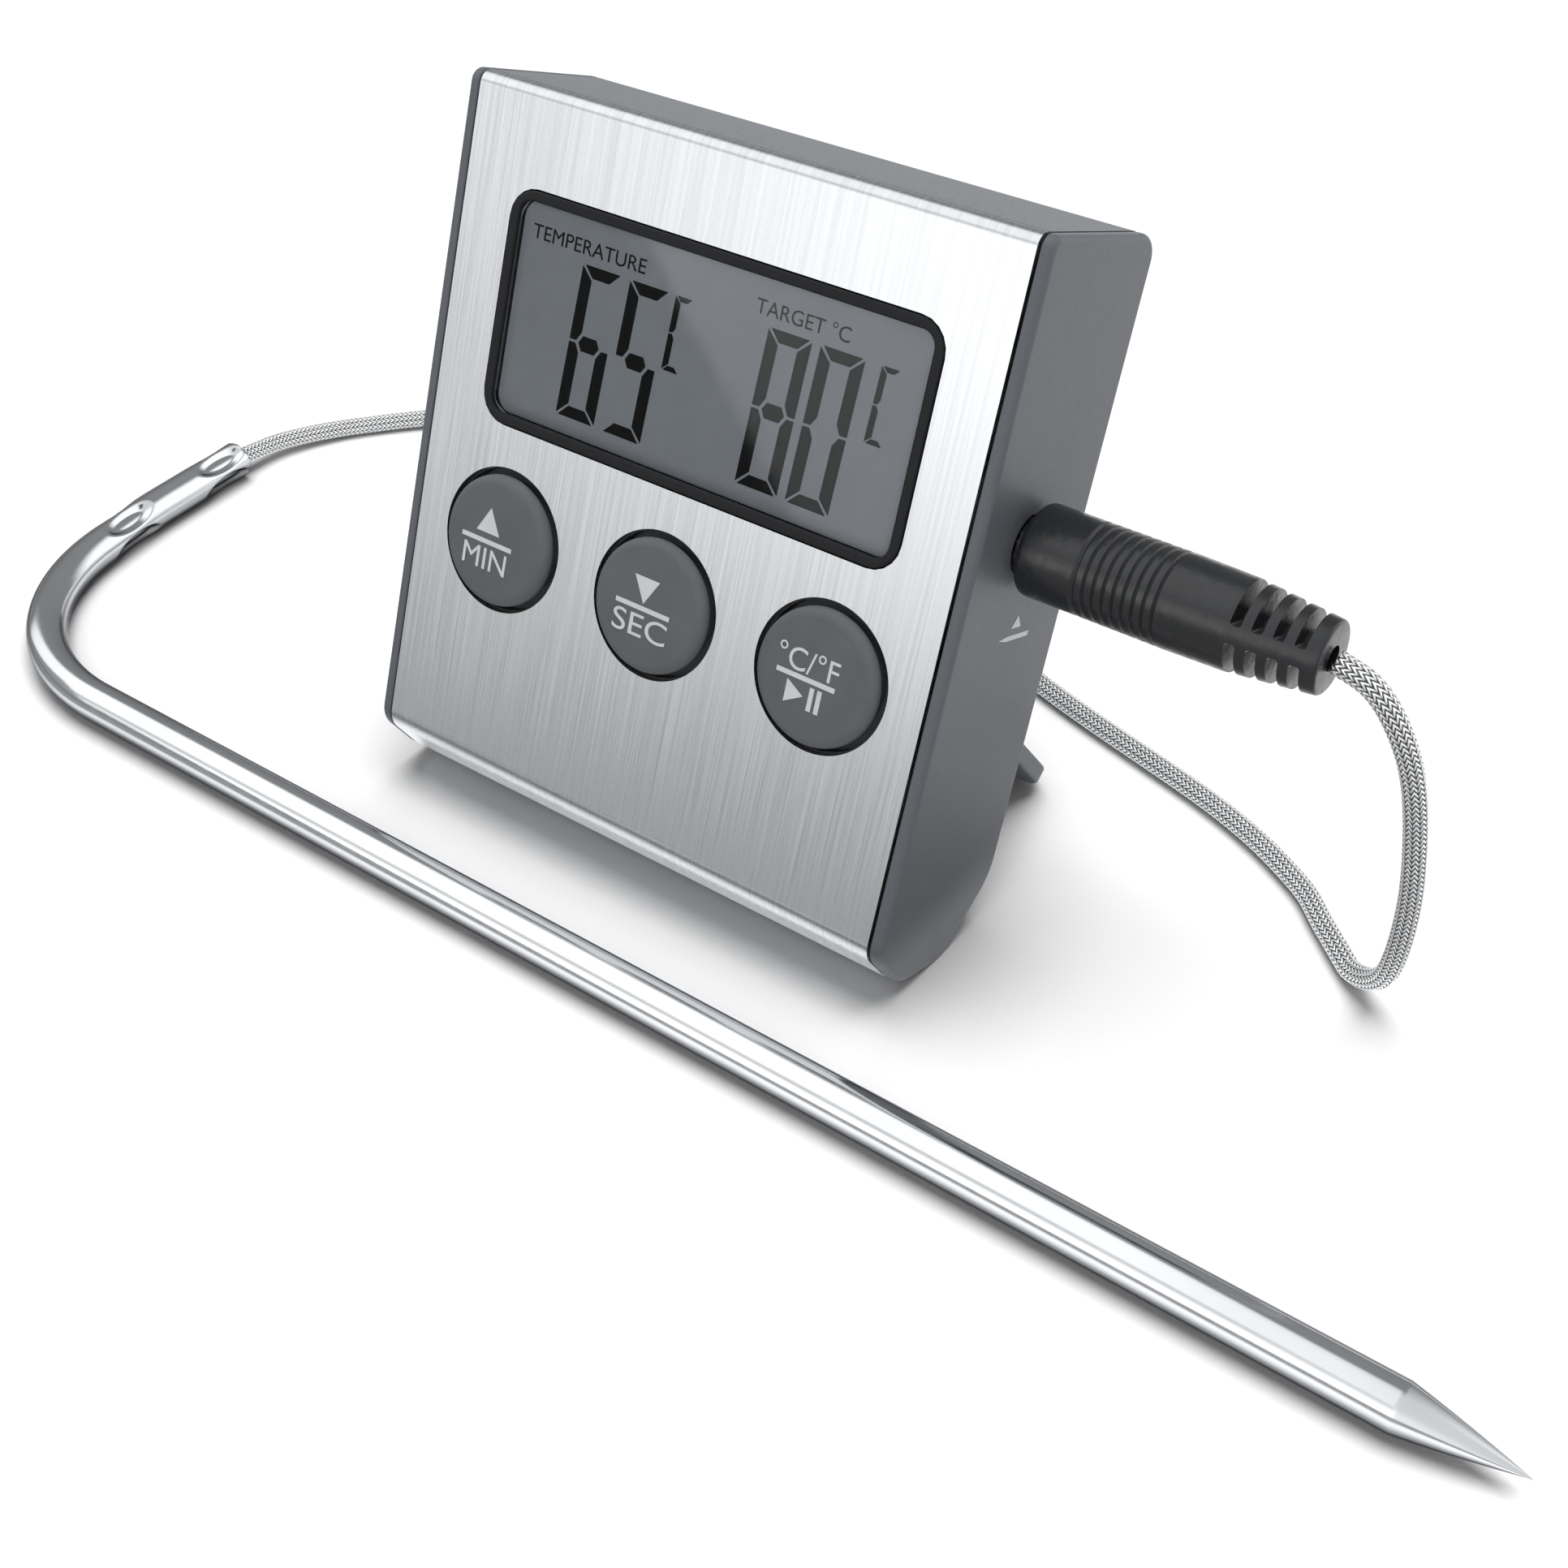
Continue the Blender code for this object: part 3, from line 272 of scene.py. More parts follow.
def rim(low, high, radius, steps=4):
    """(inset, level) steps of a plate's edge from its low face to its high face, rounded at both."""
    turns = [math.pi / 2 * i / steps for i in range(steps + 1)]
    first = [(radius * (1 - math.sin(a)), low + radius * (1 - math.cos(a))) for a in turns]
    last = [(gap, high - (level - low)) for gap, level in reversed(first)]
    return first + last


def slab(name, outline, low, high, radius, place=None):
    """A plate with rounded edges, its outline in XZ and its thickness from one y to another."""
    inward = -1 if area(outline) > 0 else 1
    steps = rim(low, high, radius)
    sections = [front_section(inset(outline, inward * gap, closed=True), level) for gap, level in steps]
    return stack(name, sections, place)


def lathe(name, profile, origin, axis, sides=64, place=None):
    """A closed profile of (radius, height) turned about an axis; a radius of zero closes an end."""
    turn = Vector(axis).to_track_quat("Z", "Y").to_matrix()
    vertices = []
    rows = []
    for radius, height in profile:
        count = sides if radius > 0 else 1
        rows.append((len(vertices), count))
        for i in range(count):
            a = math.tau * i / sides
            spot = Vector((radius * math.cos(a), radius * math.sin(a), height))
            vertices.append(Vector(origin) + turn @ spot)
    faces = []
    loops = profile[0][0] > 0
    pairs = list(zip(rows, [*rows[1:], rows[0]] if loops else rows[1:]))
    for (here, here_count), (ahead, ahead_count) in pairs:
        for i in range(sides):
            j = (i + 1) % sides
            near = [here + k % here_count for k in (i, j)]
            far = [ahead + k % ahead_count for k in (j, i)]
            faces.append(tuple(dict.fromkeys(near + far)))
    return mesh_object(name, vertices, faces, place)


def round_profile(corners, steps=5):
    """A lathe profile whose corners may carry a fillet radius as a third number."""
    return [(p.x, p.y) for p in rounded(corners, closed=corners[0][0] > 0, steps=steps)]


def block(name, low, high, radius=0.0):
    """A box for cutting, whose edges along Y are rounded when it has a radius."""
    outline = rectangle(low[0], high[0], low[2], high[2], radius, steps=5)
    return stack(name, [front_section(outline, y) for y in (low[1], high[1])])


def shaft(name, start, end, radius, sides=48, place=None):
    start = Vector(start)
    length = (Vector(end) - start).length
    profile = [(0, 0), (radius, 0), (radius, length), (0, length)]
    return lathe(name, profile, start, Vector(end) - start, sides, place)


def boolean(target, operation, tools):
    """Cuts or joins with other objects, which are then removed."""
    for tool in tools:
        modifier = target.modifiers.new(tool.name, "BOOLEAN")
        modifier.operation = operation
        modifier.object = tool
        modifier.solver = "EXACT"
    old = target.data
    mesh = evaluated_mesh(target)
    target.modifiers.clear()
    target.data = mesh
    bpy.data.meshes.remove(old)
    shade(mesh)
    for tool in tools:
        mesh = tool.data
        bpy.data.objects.remove(tool)
        bpy.data.meshes.remove(mesh)


def cut(target, *tools):
    boolean(target, "DIFFERENCE", tools)


def join(target, *tools):
    boolean(target, "UNION", tools)


def soften(obj, width, segments=2):
    """Rounds the edges where faces meet at more than 50 degrees."""
    bevel = obj.modifiers.new("Soften", "BEVEL")
    bevel.width = width
    bevel.segments = segments
    bevel.limit_method = "ANGLE"
    bevel.angle_limit = math.radians(50)
    bevel.use_clamp_overlap = True


def level_shading(obj):
    """Lets big flat faces set the shading, so that rounded edges don't smear over them."""
    modifier = obj.modifiers.new("Shading", "WEIGHTED_NORMAL")
    modifier.keep_sharp = True
    modifier.weight = 80


def dress(obj, slot, body, node=None, finish=None):
    """Gives a piece its finish, the body that it rides on, and the CAD node that it stands for."""
    obj.data.materials.clear()
    obj.data.materials.append(finish or FINISHES[slot])
    level_shading(obj)
    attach(obj, body)
    if node:
        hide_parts(node)


# ---- materials ----


class Nodes:
    """A node tree under construction."""

    def __init__(self, tree):
        self.tree = tree

    def add(self, kind, settings=None, **inputs):
        """Adds a node, sets its properties, and fills its inputs with values or other nodes' outputs."""
        node = self.tree.nodes.new(kind)
        for name, value in (settings or {}).items():
            setattr(node, name, value)
        for name, value in inputs.items():
            self.fill(node.inputs[name.replace("_", " ")], value)
        return node

    def fill(self, socket, value):
        if isinstance(value, bpy.types.NodeSocket):
            self.tree.links.new(value, socket)
        else:
            socket.default_value = value

    def span(self, value, low, high, start=0.3, stop=0.7):
        """A value remapped from start..stop to low..high."""
        node = self.add("ShaderNodeMapRange", None, Value=value)
        for name, number in (("From Min", start), ("From Max", stop), ("To Min", low), ("To Max", high)):
            node.inputs[name].default_value = number
        return node.outputs[0]

    def math(self, operation, first, second):
        node = self.add("ShaderNodeMath", {"operation": operation})
        self.fill(node.inputs[0], first)
        self.fill(node.inputs[1], second)
        return node.outputs[0]

    def product(self, first, second):
        return self.math("MULTIPLY", first, second)

    def mixed(self, share, first, second):
        """The first value where the share is 0, and the second where it is 1."""
        node = self.add("ShaderNodeMix", {"data_type": "FLOAT"})
        self.fill(node.inputs[0], share)
        self.fill(node.inputs[2], first)
        self.fill(node.inputs[3], second)
        return node.outputs[0]

    def mixed_shaders(self, share, first, second):
        """The first shader node where the share is 0, and the second where it is 1."""
        node = self.add("ShaderNodeMixShader", None, Fac=share)
        self.fill(node.inputs[1], first.outputs[0])
        self.fill(node.inputs[2], second.outputs[0])
        return node

    def ramp(self, value, stops):
        """A level read off a table of (place, level), for a value that is 1 at the table's last place."""
        node = self.add("ShaderNodeValToRGB", None, Fac=value)
        elements = node.color_ramp.elements
        while len(elements) < len(stops):
            elements.new(0.5)
        for element, (place, level) in zip(elements, stops):
            element.position = place / stops[-1][0]
            element.color = (level, level, level, 1)
        return node.outputs[0]


class Finish(Nodes):
    """A node material under construction, with its Principled shader and its object coordinates."""

    def __init__(self, name, colour, roughness, metallic=0.0):
        self.material = bpy.data.materials.new(name)
        self.material.use_nodes = True
        super().__init__(self.material.node_tree)
        self.shader = self.tree.nodes["Principled BSDF"]
        self.colour = colour
        self.set("Base Color", (*colour, 1))
        self.rough(roughness)
        self.set("Metallic", metallic)
        self.coordinates = self.add("ShaderNodeTexCoord").outputs["Object"]

    def set(self, name, value):
        self.fill(self.shader.inputs[name], value)

    def noise(self, scale, detail=3.0, stretch=(1, 1, 1)):
        """Noise whose grain is about 1 / scale metres long, or shorter along a stretched axis."""
        moved = self.add("ShaderNodeMapping", None, Vector=self.coordinates, Scale=stretch)
        noise = self.add("ShaderNodeTexNoise", None, Vector=moved.outputs[0], Scale=scale, Detail=detail)
        return noise.outputs["Fac"]

    def tint(self, value):
        """Sets the base colour to the finish's colour times a value."""
        node = self.add("ShaderNodeVectorMath", {"operation": "SCALE"}, Scale=value)
        self.fill(node.inputs[0], self.colour)
        self.set("Base Color", node.outputs[0])

    def rough(self, value):
        self.set("Roughness", value)

    def bump(self, height, distance, strength):
        node = self.add("ShaderNodeBump", None, Height=height, Distance=distance, Strength=strength)
        self.set("Normal", node.outputs[0])


def brushed_steel():
    """Stainless sheet with fine scratches up the face, which spread its highlights sideways."""
    finish = Finish("brushed_steel", (0.65, 0.665, 0.68), 0.3, 1.0)
    fine = finish.noise(220, 3.0, (60, 1, 0.25))
    coarse = finish.noise(60, 2.0, (45, 1, 0.4))
    both = finish.product(finish.span(fine, 0.86, 1.12), finish.span(coarse, 0.92, 1.07))
    finish.tint(both)
    finish.rough(finish.span(fine, 0.24, 0.36))
    finish.bump(fine, 0.004 * MM, 0.4)
    finish.set("Anisotropic", 0.75)
    settings = {"vector_type": "VECTOR", "convert_from": "OBJECT", "convert_to": "WORLD"}
    sideways = finish.add("ShaderNodeVectorTransform", settings, Vector=(1, 0, 0))
    finish.set("Tangent", sideways.outputs[0])
    return finish.material


def moulded(name, colour, roughness, grain=4500, depth=0.012 * MM, mottle=0.06, shine=0.5):
    """Moulded plastic or rubber: a fine spark-eroded grain and a faint unevenness of colour."""
    finish = Finish(name, colour, roughness)
    finish.set("Specular IOR Level", shine)
    fine = finish.noise(grain, 2.0)
    cloud = finish.noise(grain / 12, 3.0)
    finish.tint(finish.span(cloud, 1 - mottle, 1 + mottle))
    finish.rough(finish.span(fine, roughness - 0.05, roughness + 0.05))
    finish.bump(fine, depth, 0.5)
    return finish.material


def metal(name, colour, roughness):
    """Drawn or plated metal with faint handling marks."""
    finish = Finish(name, colour, roughness, 1.0)
    marks = finish.noise(900, 4.0)
    cloud = finish.noise(120, 2.0)
    finish.tint(finish.span(cloud, 0.96, 1.03))
    finish.rough(finish.span(marks, roughness * 0.75, roughness * 1.3))
    finish.bump(marks, 0.003 * MM, 0.3)
    return finish.material


def polished_metal(name, colour, roughness):
    """Polished tube steel, with painted shade that darkens its colour towards its outline and on its underside."""
    finish = Finish(name, colour, roughness, 1.0)
    marks = finish.noise(900, 4.0)
    # Painted shade: the colour darkens at a glance towards the outline
    glance = finish.add("ShaderNodeLayerWeight", None, Blend=0.5).outputs["Facing"]
    painted_rim_shade = finish.span(glance, 1.0, 0.12, 0.78, 0.93)
    # Painted shade: the colour darkens where the tube faces down towards the table
    normal = finish.add("ShaderNodeNewGeometry").outputs["Normal"]
    upward = finish.add("ShaderNodeSeparateXYZ", None, Vector=normal).outputs["Z"]
    underside = finish.span(upward, 0.3, 1.0, -0.05, 0.4)
    shade = finish.product(painted_rim_shade, underside)
    finish.tint(finish.product(shade, finish.span(finish.noise(120, 2.0), 0.97, 1.03)))
    finish.rough(finish.span(marks, roughness * 0.85, roughness * 1.15))
    finish.set("Specular Tint", (0.25, 0.25, 0.26, 1))
    return finish.material


def clear_window():
    """Thin clear acrylic: see-through, with a reflection that grows at a glance."""
    finish = Finish("clear_window", (0.9, 0.92, 0.93), 0.03)
    see = finish.add("ShaderNodeBsdfTransparent", None, Color=(0.93, 0.94, 0.95, 1))
    gloss = finish.add("ShaderNodeBsdfGlossy", None, Roughness=finish.span(finish.noise(700), 0.02, 0.05))
    share = finish.add("ShaderNodeFresnel", None, IOR=1.26)
    mix = finish.mixed_shaders(share.outputs[0], see, gloss)
    finish.fill(finish.tree.nodes["Material Output"].inputs["Surface"], mix.outputs[0])
    return finish.material


def lcd_grey():
    """The display's grey polariser."""
    finish = Finish("lcd_grey", (0.31, 0.324, 0.34), 0.5)
    finish.set("Specular IOR Level", 0.0)
    finish.tint(finish.span(finish.noise(500, 3.0), 0.97, 1.03))
    finish.rough(finish.span(finish.noise(6000), 0.3, 0.4))
    return finish.material


def segment_ink():
    """The LCD's dark segments, quite dull."""
    finish = Finish("segment_black", (0.003, 0.003, 0.0035), 0.6)
    finish.tint(finish.span(finish.noise(3000), 0.9, 1.1))
    finish.set("Specular IOR Level", 0.0)
    return finish.material


def board_finish():
    """Green solder mask over straight copper tracks."""
    finish = Finish("board_green", (0.02, 0.15, 0.05), 0.4)
    settings = {"bands_direction": "DIAGONAL"}
    tracks = finish.add("ShaderNodeTexWave", settings, Vector=finish.coordinates, Scale=160.0).outputs["Fac"]
    finish.tint(finish.span(tracks, 0.7, 1.3))
    finish.bump(tracks, 0.03 * MM, 0.5)
    return finish.material


def braid_metal():
    """Stainless braid, with painted shade in the gaps between its strands and a painted highlight on their tops.
    """
    finish = Finish("braided_steel", (0.72, 0.73, 0.74), 0.35, 0.55)
    height = finish.add("ShaderNodeAttribute", {"attribute_name": "strand"}).outputs["Fac"]
    cloud = finish.span(finish.noise(2500), 0.85, 1.1)
    # Painted shade in the gaps and painted highlight on the strand tops, from each strand's height
    finish.tint(finish.product(finish.span(height, 0.07, 1.4, 0.12, 0.7), cloud))
    finish.rough(finish.span(height, 0.6, 0.26, 0.1, 0.8))
    return finish.material


FINISHES = {
    "brushed_steel": brushed_steel(),
    "slate_plastic": moulded("slate_plastic", (0.09, 0.097, 0.108), 0.45, mottle=0.02, shine=0.35),
    "dark_plastic": moulded("dark_plastic", (0.03, 0.03, 0.032), 0.5),
    "black_plastic": moulded("black_plastic", (0.011, 0.0115, 0.0125), 0.45, 5500, shine=0.15),
    "white_plastic": moulded("white_plastic", (0.75, 0.75, 0.73), 0.5),
    "clear_lens": clear_window(),
    "display_grey": lcd_grey(),
    "button_rubber": moulded("button_rubber", (0.09, 0.097, 0.104), 0.6, 3200, 0.02 * MM, 0.06, 0.3),
    "plug_rubber": moulded("plug_rubber", (0.012, 0.0128, 0.0142), 0.3, 1300, 0.06 * MM, 0.12),
    "contact_rubber": moulded("contact_rubber", (0.6, 0.35, 0.35), 0.7),
    "board_green": board_finish(),
    "chip_black": moulded("chip_black", (0.02, 0.02, 0.02), 0.5, 3000),
    "nickel_plate": metal("nickel_plate", (0.5, 0.5, 0.49), 0.25),
    "spring_steel": metal("spring_steel", (0.55, 0.55, 0.53), 0.3),
    "cell_wrap": moulded("cell_wrap", (0.15, 0.15, 0.16), 0.3, 2000, 0.004 * MM),
    "braided_steel": braid_metal(),
    "polished_steel": polished_metal("polished_steel", (0.71, 0.725, 0.742), 0.15),
    "sensor_epoxy": moulded("sensor_epoxy", (0.1, 0.05, 0.02), 0.4),
    "sensor_wire": moulded("sensor_wire", (0.7, 0.65, 0.6), 0.4),
}
PRINT = moulded("print_grey", (0.50, 0.51, 0.52), 0.5, 6000, 0.002 * MM, 0.03)
SEGMENT = segment_ink()


def paint_cad_nodes():
    """Every CAD node takes the finish of its slot in the record."""
    for part in frame["record"]["subparts"]:
        node = frame["nodes"][part["node"]]
        finish = FINISHES[part["material_slot"]]
        if not node.data.materials:
            node.data.materials.append(finish)
        for slot in range(len(node.data.materials)):
            node.data.materials[slot] = finish


# ---- casing ----


def underside(y):
    """The point of the casing's underside at a given y."""
    back = Vector(SIDE_CORNERS[3][:2])
    front = Vector(SIDE_CORNERS[4][:2])
    return back.lerp(front, (back.x - y) / (back.x - front.x))


def chin_path(start):
    """The front of the side view, from a given start down the face and round under the chin."""
    return rounded([*start, *SIDE_CORNERS[:3:-1], underside(CHIN_LIP)], closed=False, steps=12)


def extruded(name, outline, half):
    """A side view drawn out to both sides of the middle."""
    return stack(name, [side_section(outline, x) for x in (-half, half)])


def button_centre(node):
    middle = unit_middle(node)
    return Vector((middle.x, 0, middle.z))


def build_face_plate():
    """The brushed face: one bent sheet with the display window and the three button wells punched out."""
    outline = sheet(chin_path([(1.3 * MM, TOP), SIDE_CORNERS[0]]), 0.0, -STEEL)
    plate = extruded("face_plate", outline, PANEL[1].x)
    margin = 0.15 * MM
    before = -2 * MM
    behind = 4 * MM
    low = (BEZEL[0].x - margin, before, BEZEL[0].z - margin)
    high = (BEZEL[1].x + margin, behind, BEZEL[1].z + margin)
    tools = [block("window_cut", low, high, 3 * MM + margin)]
    for node in BUTTONS:
        x, _, z = button_centre(node)
        tools.append(shaft(node + "_cut", (x, before, z), (x, behind, z), WELL_RADIUS + margin, 96))
    cut(plate, *tools)
    soften(plate, 0.1 * MM)
    dress(plate, "brushed_steel", "housing", "front_panel")


def build_end_cap(name, node, side):
    """One of the two ends, its outer rim rolled over."""
    outline = rounded(SIDE_CORNERS)
    outer = side * HALF_WIDTH
    inner = side * (HALF_WIDTH - END_CAP)
    edge = 0.12 * MM
    rim_width = 0.7 * MM
    steps = 7
    sections = [side_section(inset(outline, edge, closed=True), inner)]
    sections.append(side_section(outline, inner + side * edge))
    for step in range(steps + 1):
        a = math.pi / 2 * step / steps
        level = outer - side * rim_width * (1 - math.sin(a))
        gap = rim_width * (1 - math.cos(a))
        sections.append(side_section(inset(outline, gap, closed=True), level))
    cap = stack(name, sections)
    if side > 0:
        middle = plug_axis()
        past = 2 * MM
        cut(cap, shaft("socket_hole", (inner - past, *middle), (outer + past, *middle), 2.9 * MM))
        soften(cap, 0.15 * MM, 3)
    dress(cap, "slate_plastic", "housing", node)


def plug_axis():
    """(y, z) of the plug's axis."""
    middle = unit_middle("plug_tip")
    return middle.y, middle.z


def cover_outline():
    """The back cover's C-shaped section, which steps in behind the stand's recess."""
    inner_back = DEPTH - WALL
    step_back = RECESS_FLOOR - 1.4 * MM
    inner_top = TOP - WALL
    step_top = RECESS_TOP + 0.9 * MM
    floor = -5.4 * MM
    front = 1.6 * MM
    return rounded(
        [
            (front, TOP),
            *SIDE_CORNERS[1:4],
            underside(COVER_LIP),
            (COVER_LIP, floor), (12.2 * MM, floor, 2 * MM), (step_back, -1.4 * MM, 2 * MM),
            (step_back, step_top), (inner_back, step_top), (inner_back, inner_top, 1.0 * MM),
            (front, inner_top),
        ]
    )


def screw_places():
    """Middle of each case screw's head, from the CAD screws."""
    places = []
    for number in range(1, 5):
        node = f"case_screw_{number}"
        middle = unit_middle(node)
        places.append(Vector((middle.x, unit_box(node)[1].y, middle.z)))
    return places


def build_rear_cover():
    """The back cover, with the stand's recess, the doorway and round holes."""
    cover = extruded("rear_cover", cover_outline(), PANEL[1].x)
    outside = DEPTH + MM
    inside = 17 * MM

    def hole(name, x, z, start, radius, sides=48):
        return shaft(name, (x, start, z), (x, outside, z), radius, sides)

    doorway = ((DOOR[0].x - GAP, inside, DOOR[0].z - GAP), (DOOR[1].x + GAP, outside, DOOR[1].z + GAP))
    tools = [
        block("recess", (-RECESS_HALF, RECESS_FLOOR, -12 * MM), (RECESS_HALF, outside, RECESS_TOP)),
        block("doorway", *doorway, MM),
    ]
    for number, place in enumerate(screw_places()):
        tools.append(hole(f"sink_{number}", place.x, place.z, place.y - SCREW_HEAD - GAP / 2, 2.2 * MM))
    for node in MAGNETS:
        middle = unit_middle(node)
        tools.append(hole(node + "_pocket", middle.x, middle.z, unit_box(node)[0].y - GAP, 5.3 * MM))
    for number in range(5):
        tools.append(hole(f"sound_{number}", (number - 2) * 2.6 * MM, 43 * MM, inside, 0.6 * MM, 24))
    for node in ("hinge_pin_left", "hinge_pin_right"):
        x, y, z = unit_middle(node)
        side = 1 if x > 0 else -1
        ends = [(side * reach, y, z) for reach in (RECESS_HALF - MM, 29.6 * MM)]
        tools.append(shaft(node + "_hole", *ends, 1.1 * MM, 32))
    cut(cover, *tools)
    soften(cover, 0.2 * MM)
    dress(cover, "slate_plastic", "housing", "back_cover")


# ---- display ----


def build_bezel():
    """A ring swept round the display, with a pocket at the back for the clear window."""
    low, high = BEZEL
    lip = 1.05 * MM
    pocket = 0.6 * MM
    ledge = 0.2 * MM
    edge = 0.22 * MM
    corner = 3.0 * MM
    narrowing = 1.5 * MM / lip
    # (way in from the outer edge, y)
    section = rounded(
        [
            (0.0, high.y, 0.1 * MM), (0.0, low.y, edge), (lip, low.y, edge),
            (lip, ledge, 0.05 * MM), (pocket, ledge, 0.05 * MM), (pocket, high.y, 0.1 * MM),
        ],
        steps=5,
    )
    sections = []
    for across, y in section:
        radius = corner - across * narrowing
        outline = rectangle(low.x + across, high.x - across, low.z + across, high.z - across, radius)
        sections.append(front_section(outline, y))
    bezel = stack("bezel", sections, looped=True)
    dress(bezel, "black_plastic", "housing", "display_bezel")


def build_display():
    """The clear window, and the LCD's glass behind it."""
    for name, (low, high), slot, node in (
        ("window", LENS, "clear_lens", "display_lens"),
        ("lcd_glass", GLASS, "display_grey", "display_glass"),
    ):
        outline = rectangle(low.x, high.x, low.z, high.z, 1.9 * MM)
        pane = slab(name, outline, low.y, high.y, 0.1 * MM)
        dress(pane, slot, "housing", node)


DIGIT_HEIGHT = 14.83 * MM
DIGIT_WIDTH = 4.87 * MM
DIGIT_PITCH = 5.83 * MM
DIGIT_LEAN = 0.031
DIGIT_BASE = 35.67 * MM
SEGMENT_HALF = 0.02 * MM
LIT = {"6": "afgcde", "5": "afgcd", "8": "abcdefg", "0": "abcdef", "C": "afed"}


def segment_outlines(width, height, upright, level, gap):
    """Outlines of the seven segments of a digit from its lower left corner, by letter."""
    middle = height / 2
    half = 0.66 * level
    top = [
        (gap, height), (width - gap, height), (width - gap - level, height - level),
        (gap + level, height - level),
    ]
    upper_left = [
        (0, height - gap / 2), (upright, height - level - gap), (upright, middle + half + gap),
        (upright * 0.6, middle + gap / 2), (0, middle + gap / 2),
    ]
    centre = [
        (upright * 0.85, middle), (upright + gap, middle + half),
        (width - upright - gap, middle + half), (width - upright * 0.85, middle),
        (width - upright - gap, middle - half), (upright + gap, middle - half),
    ]
    right = [(width - x, y) for x, y in reversed(upper_left)]

    def down(points):
        return [(x, height - y) for x, y in reversed(points)]

    return {
        "a": top,
        "b": right,
        "c": down(right),
        "d": down(top),
        "e": down(upper_left),
        "f": upper_left,
        "g": centre,
    }


def build_digit(name, sign, x, base, width, height, upright, level, gap):
    """One digit as thin segments on the display's glass."""
    vertices = []
    faces = []
    outlines = segment_outlines(width, height, upright, level, gap)
    for letter in LIT[sign]:
        outline = outlines[letter]
        first = len(vertices)
        for y in (GLASS[0].y - SEGMENT_HALF, GLASS[0].y + SEGMENT_HALF):
            vertices += [Vector((x + a + b * DIGIT_LEAN, y, base + b)) for a, b in outline]
        faces += [tuple(first + corner for corner in face) for face in skin_faces(2, len(outline))]
    digit = mesh_object(name, vertices, faces)
    dress(digit, "display_grey", "housing", finish=SEGMENT)


def build_readings():
    """Two readings in degrees, each of two tall digits and a small C."""
    big = (DIGIT_WIDTH, DIGIT_HEIGHT, 1.35 * MM, 1.13 * MM, 0.26 * MM)
    small = (2.07 * MM, 7.1 * MM, 0.7 * MM, 0.5 * MM, 0.14 * MM)
    small_base = DIGIT_BASE + DIGIT_HEIGHT - small[1]
    for label, digits, left, unit_left in (
        ("now", "65", -16.5 * MM, -4.9 * MM), ("set", "80", 5.7 * MM, 18.4 * MM),
    ):
        for place, sign in enumerate(digits):
            name = f"lcd_{label}_digit_{place + 1}"
            build_digit(name, sign, left + place * DIGIT_PITCH, DIGIT_BASE, *big)
        build_digit(f"lcd_{label}_unit", "C", unit_left, small_base, *small)


# Height of a capital in Blender's own font, as a share of the font's size
CAPITAL_SHARE = 0.729

PRINT_RISE = 0.03 * MM
FRONT_PRINT = (0, -PRINT_RISE, 0)
SIDE_PRINT = (PRINT_RISE, 0, 0)


def lettering(name, words, centre, height, width, y, finish, body, slot):
    """Raised letters at (x, z) on the face, scaled to a capital height and an overall width."""
    font = bpy.data.curves.new(name, "FONT")
    font.body = words
    font.align_x = "CENTER"
    font.align_y = "BOTTOM_BASELINE"
    font.size = 1.0
    text = add_object(name + "_text", font)
    mesh = evaluated_mesh(text)
    bpy.data.objects.remove(text)
    xs = [v.co.x for v in mesh.vertices]
    scale_x = width / (max(xs) - min(xs))
    scale_z = height / CAPITAL_SHARE
    middle = (max(xs) + min(xs)) / 2
    for v in mesh.vertices:
        v.co = Vector((centre[0] + (v.co.x - middle) * scale_x, y, centre[1] + v.co.y * scale_z))
    thicken_print(mesh)
    dress(add_object(name, mesh, UNIT), slot, body, finish=finish)


def thicken_print(mesh, step=FRONT_PRINT):
    """Gives a flat print its thickness, along a step."""
    work = bmesh.new()
    work.from_mesh(mesh)
    bmesh.ops.remove_doubles(work, verts=work.verts, dist=0.0005 * MM)
    made = bmesh.ops.extrude_face_region(work, geom=work.faces[:])
    raised = [g for g in made["geom"] if isinstance(g, bmesh.types.BMVert)]
    bmesh.ops.translate(work, verts=raised, vec=step)
    bmesh.ops.recalc_face_normals(work, faces=work.faces)
    work.to_mesh(mesh)
    work.free()


def build_display_words():
    y = GLASS[0].y + 0.01 * MM
    base = 51.37 * MM
    cap_height = 1.46 * MM
    for name, words, x, width in (
        ("lcd_now_word", "TEMPERATURE", -15.7 * MM, 14.1 * MM),
        ("lcd_set_word", "TARGET °C", 9.6 * MM, 10.5 * MM),
    ):
        lettering(name, words, (x, base), cap_height, width, y, SEGMENT, "housing", "display_grey")


# ---- buttons ----


def build_buttons():
    """Low caps on narrower stems, so that each well stays dark round its button."""
    proud = BUTTON_PROUD
    dome = 0.1 * MM
    low, high = unit_box("second_button")
    flange = (high.x - low.x) / 2
    edge = 0.1 * MM
    skirt = -0.1 * MM
    flange_front = -2.5 * MM
    flange_back = -3.1 * MM
    plunger = 1.5 * MM
    profile = round_profile(
        [
            (0, proud + dome), (BUTTON_RADIUS * 0.5, proud + dome * 0.75, 8 * MM),
            (BUTTON_RADIUS, proud - dome, 0.95 * MM), (BUTTON_RADIUS, skirt, edge),
            (BUTTON_STEM, skirt, edge), (BUTTON_STEM, flange_front, edge),
            (flange, flange_front, edge), (flange, flange_back, edge), (plunger, flange_back, edge),
            (plunger, -3.6 * MM, edge), (0, -3.6 * MM),
        ],
        steps=8,
    )
    for node in BUTTONS:
        key = lathe(node + "_key", profile, button_centre(node), (0, -1, 0), 96)
        dress(key, "button_rubber", node, node)


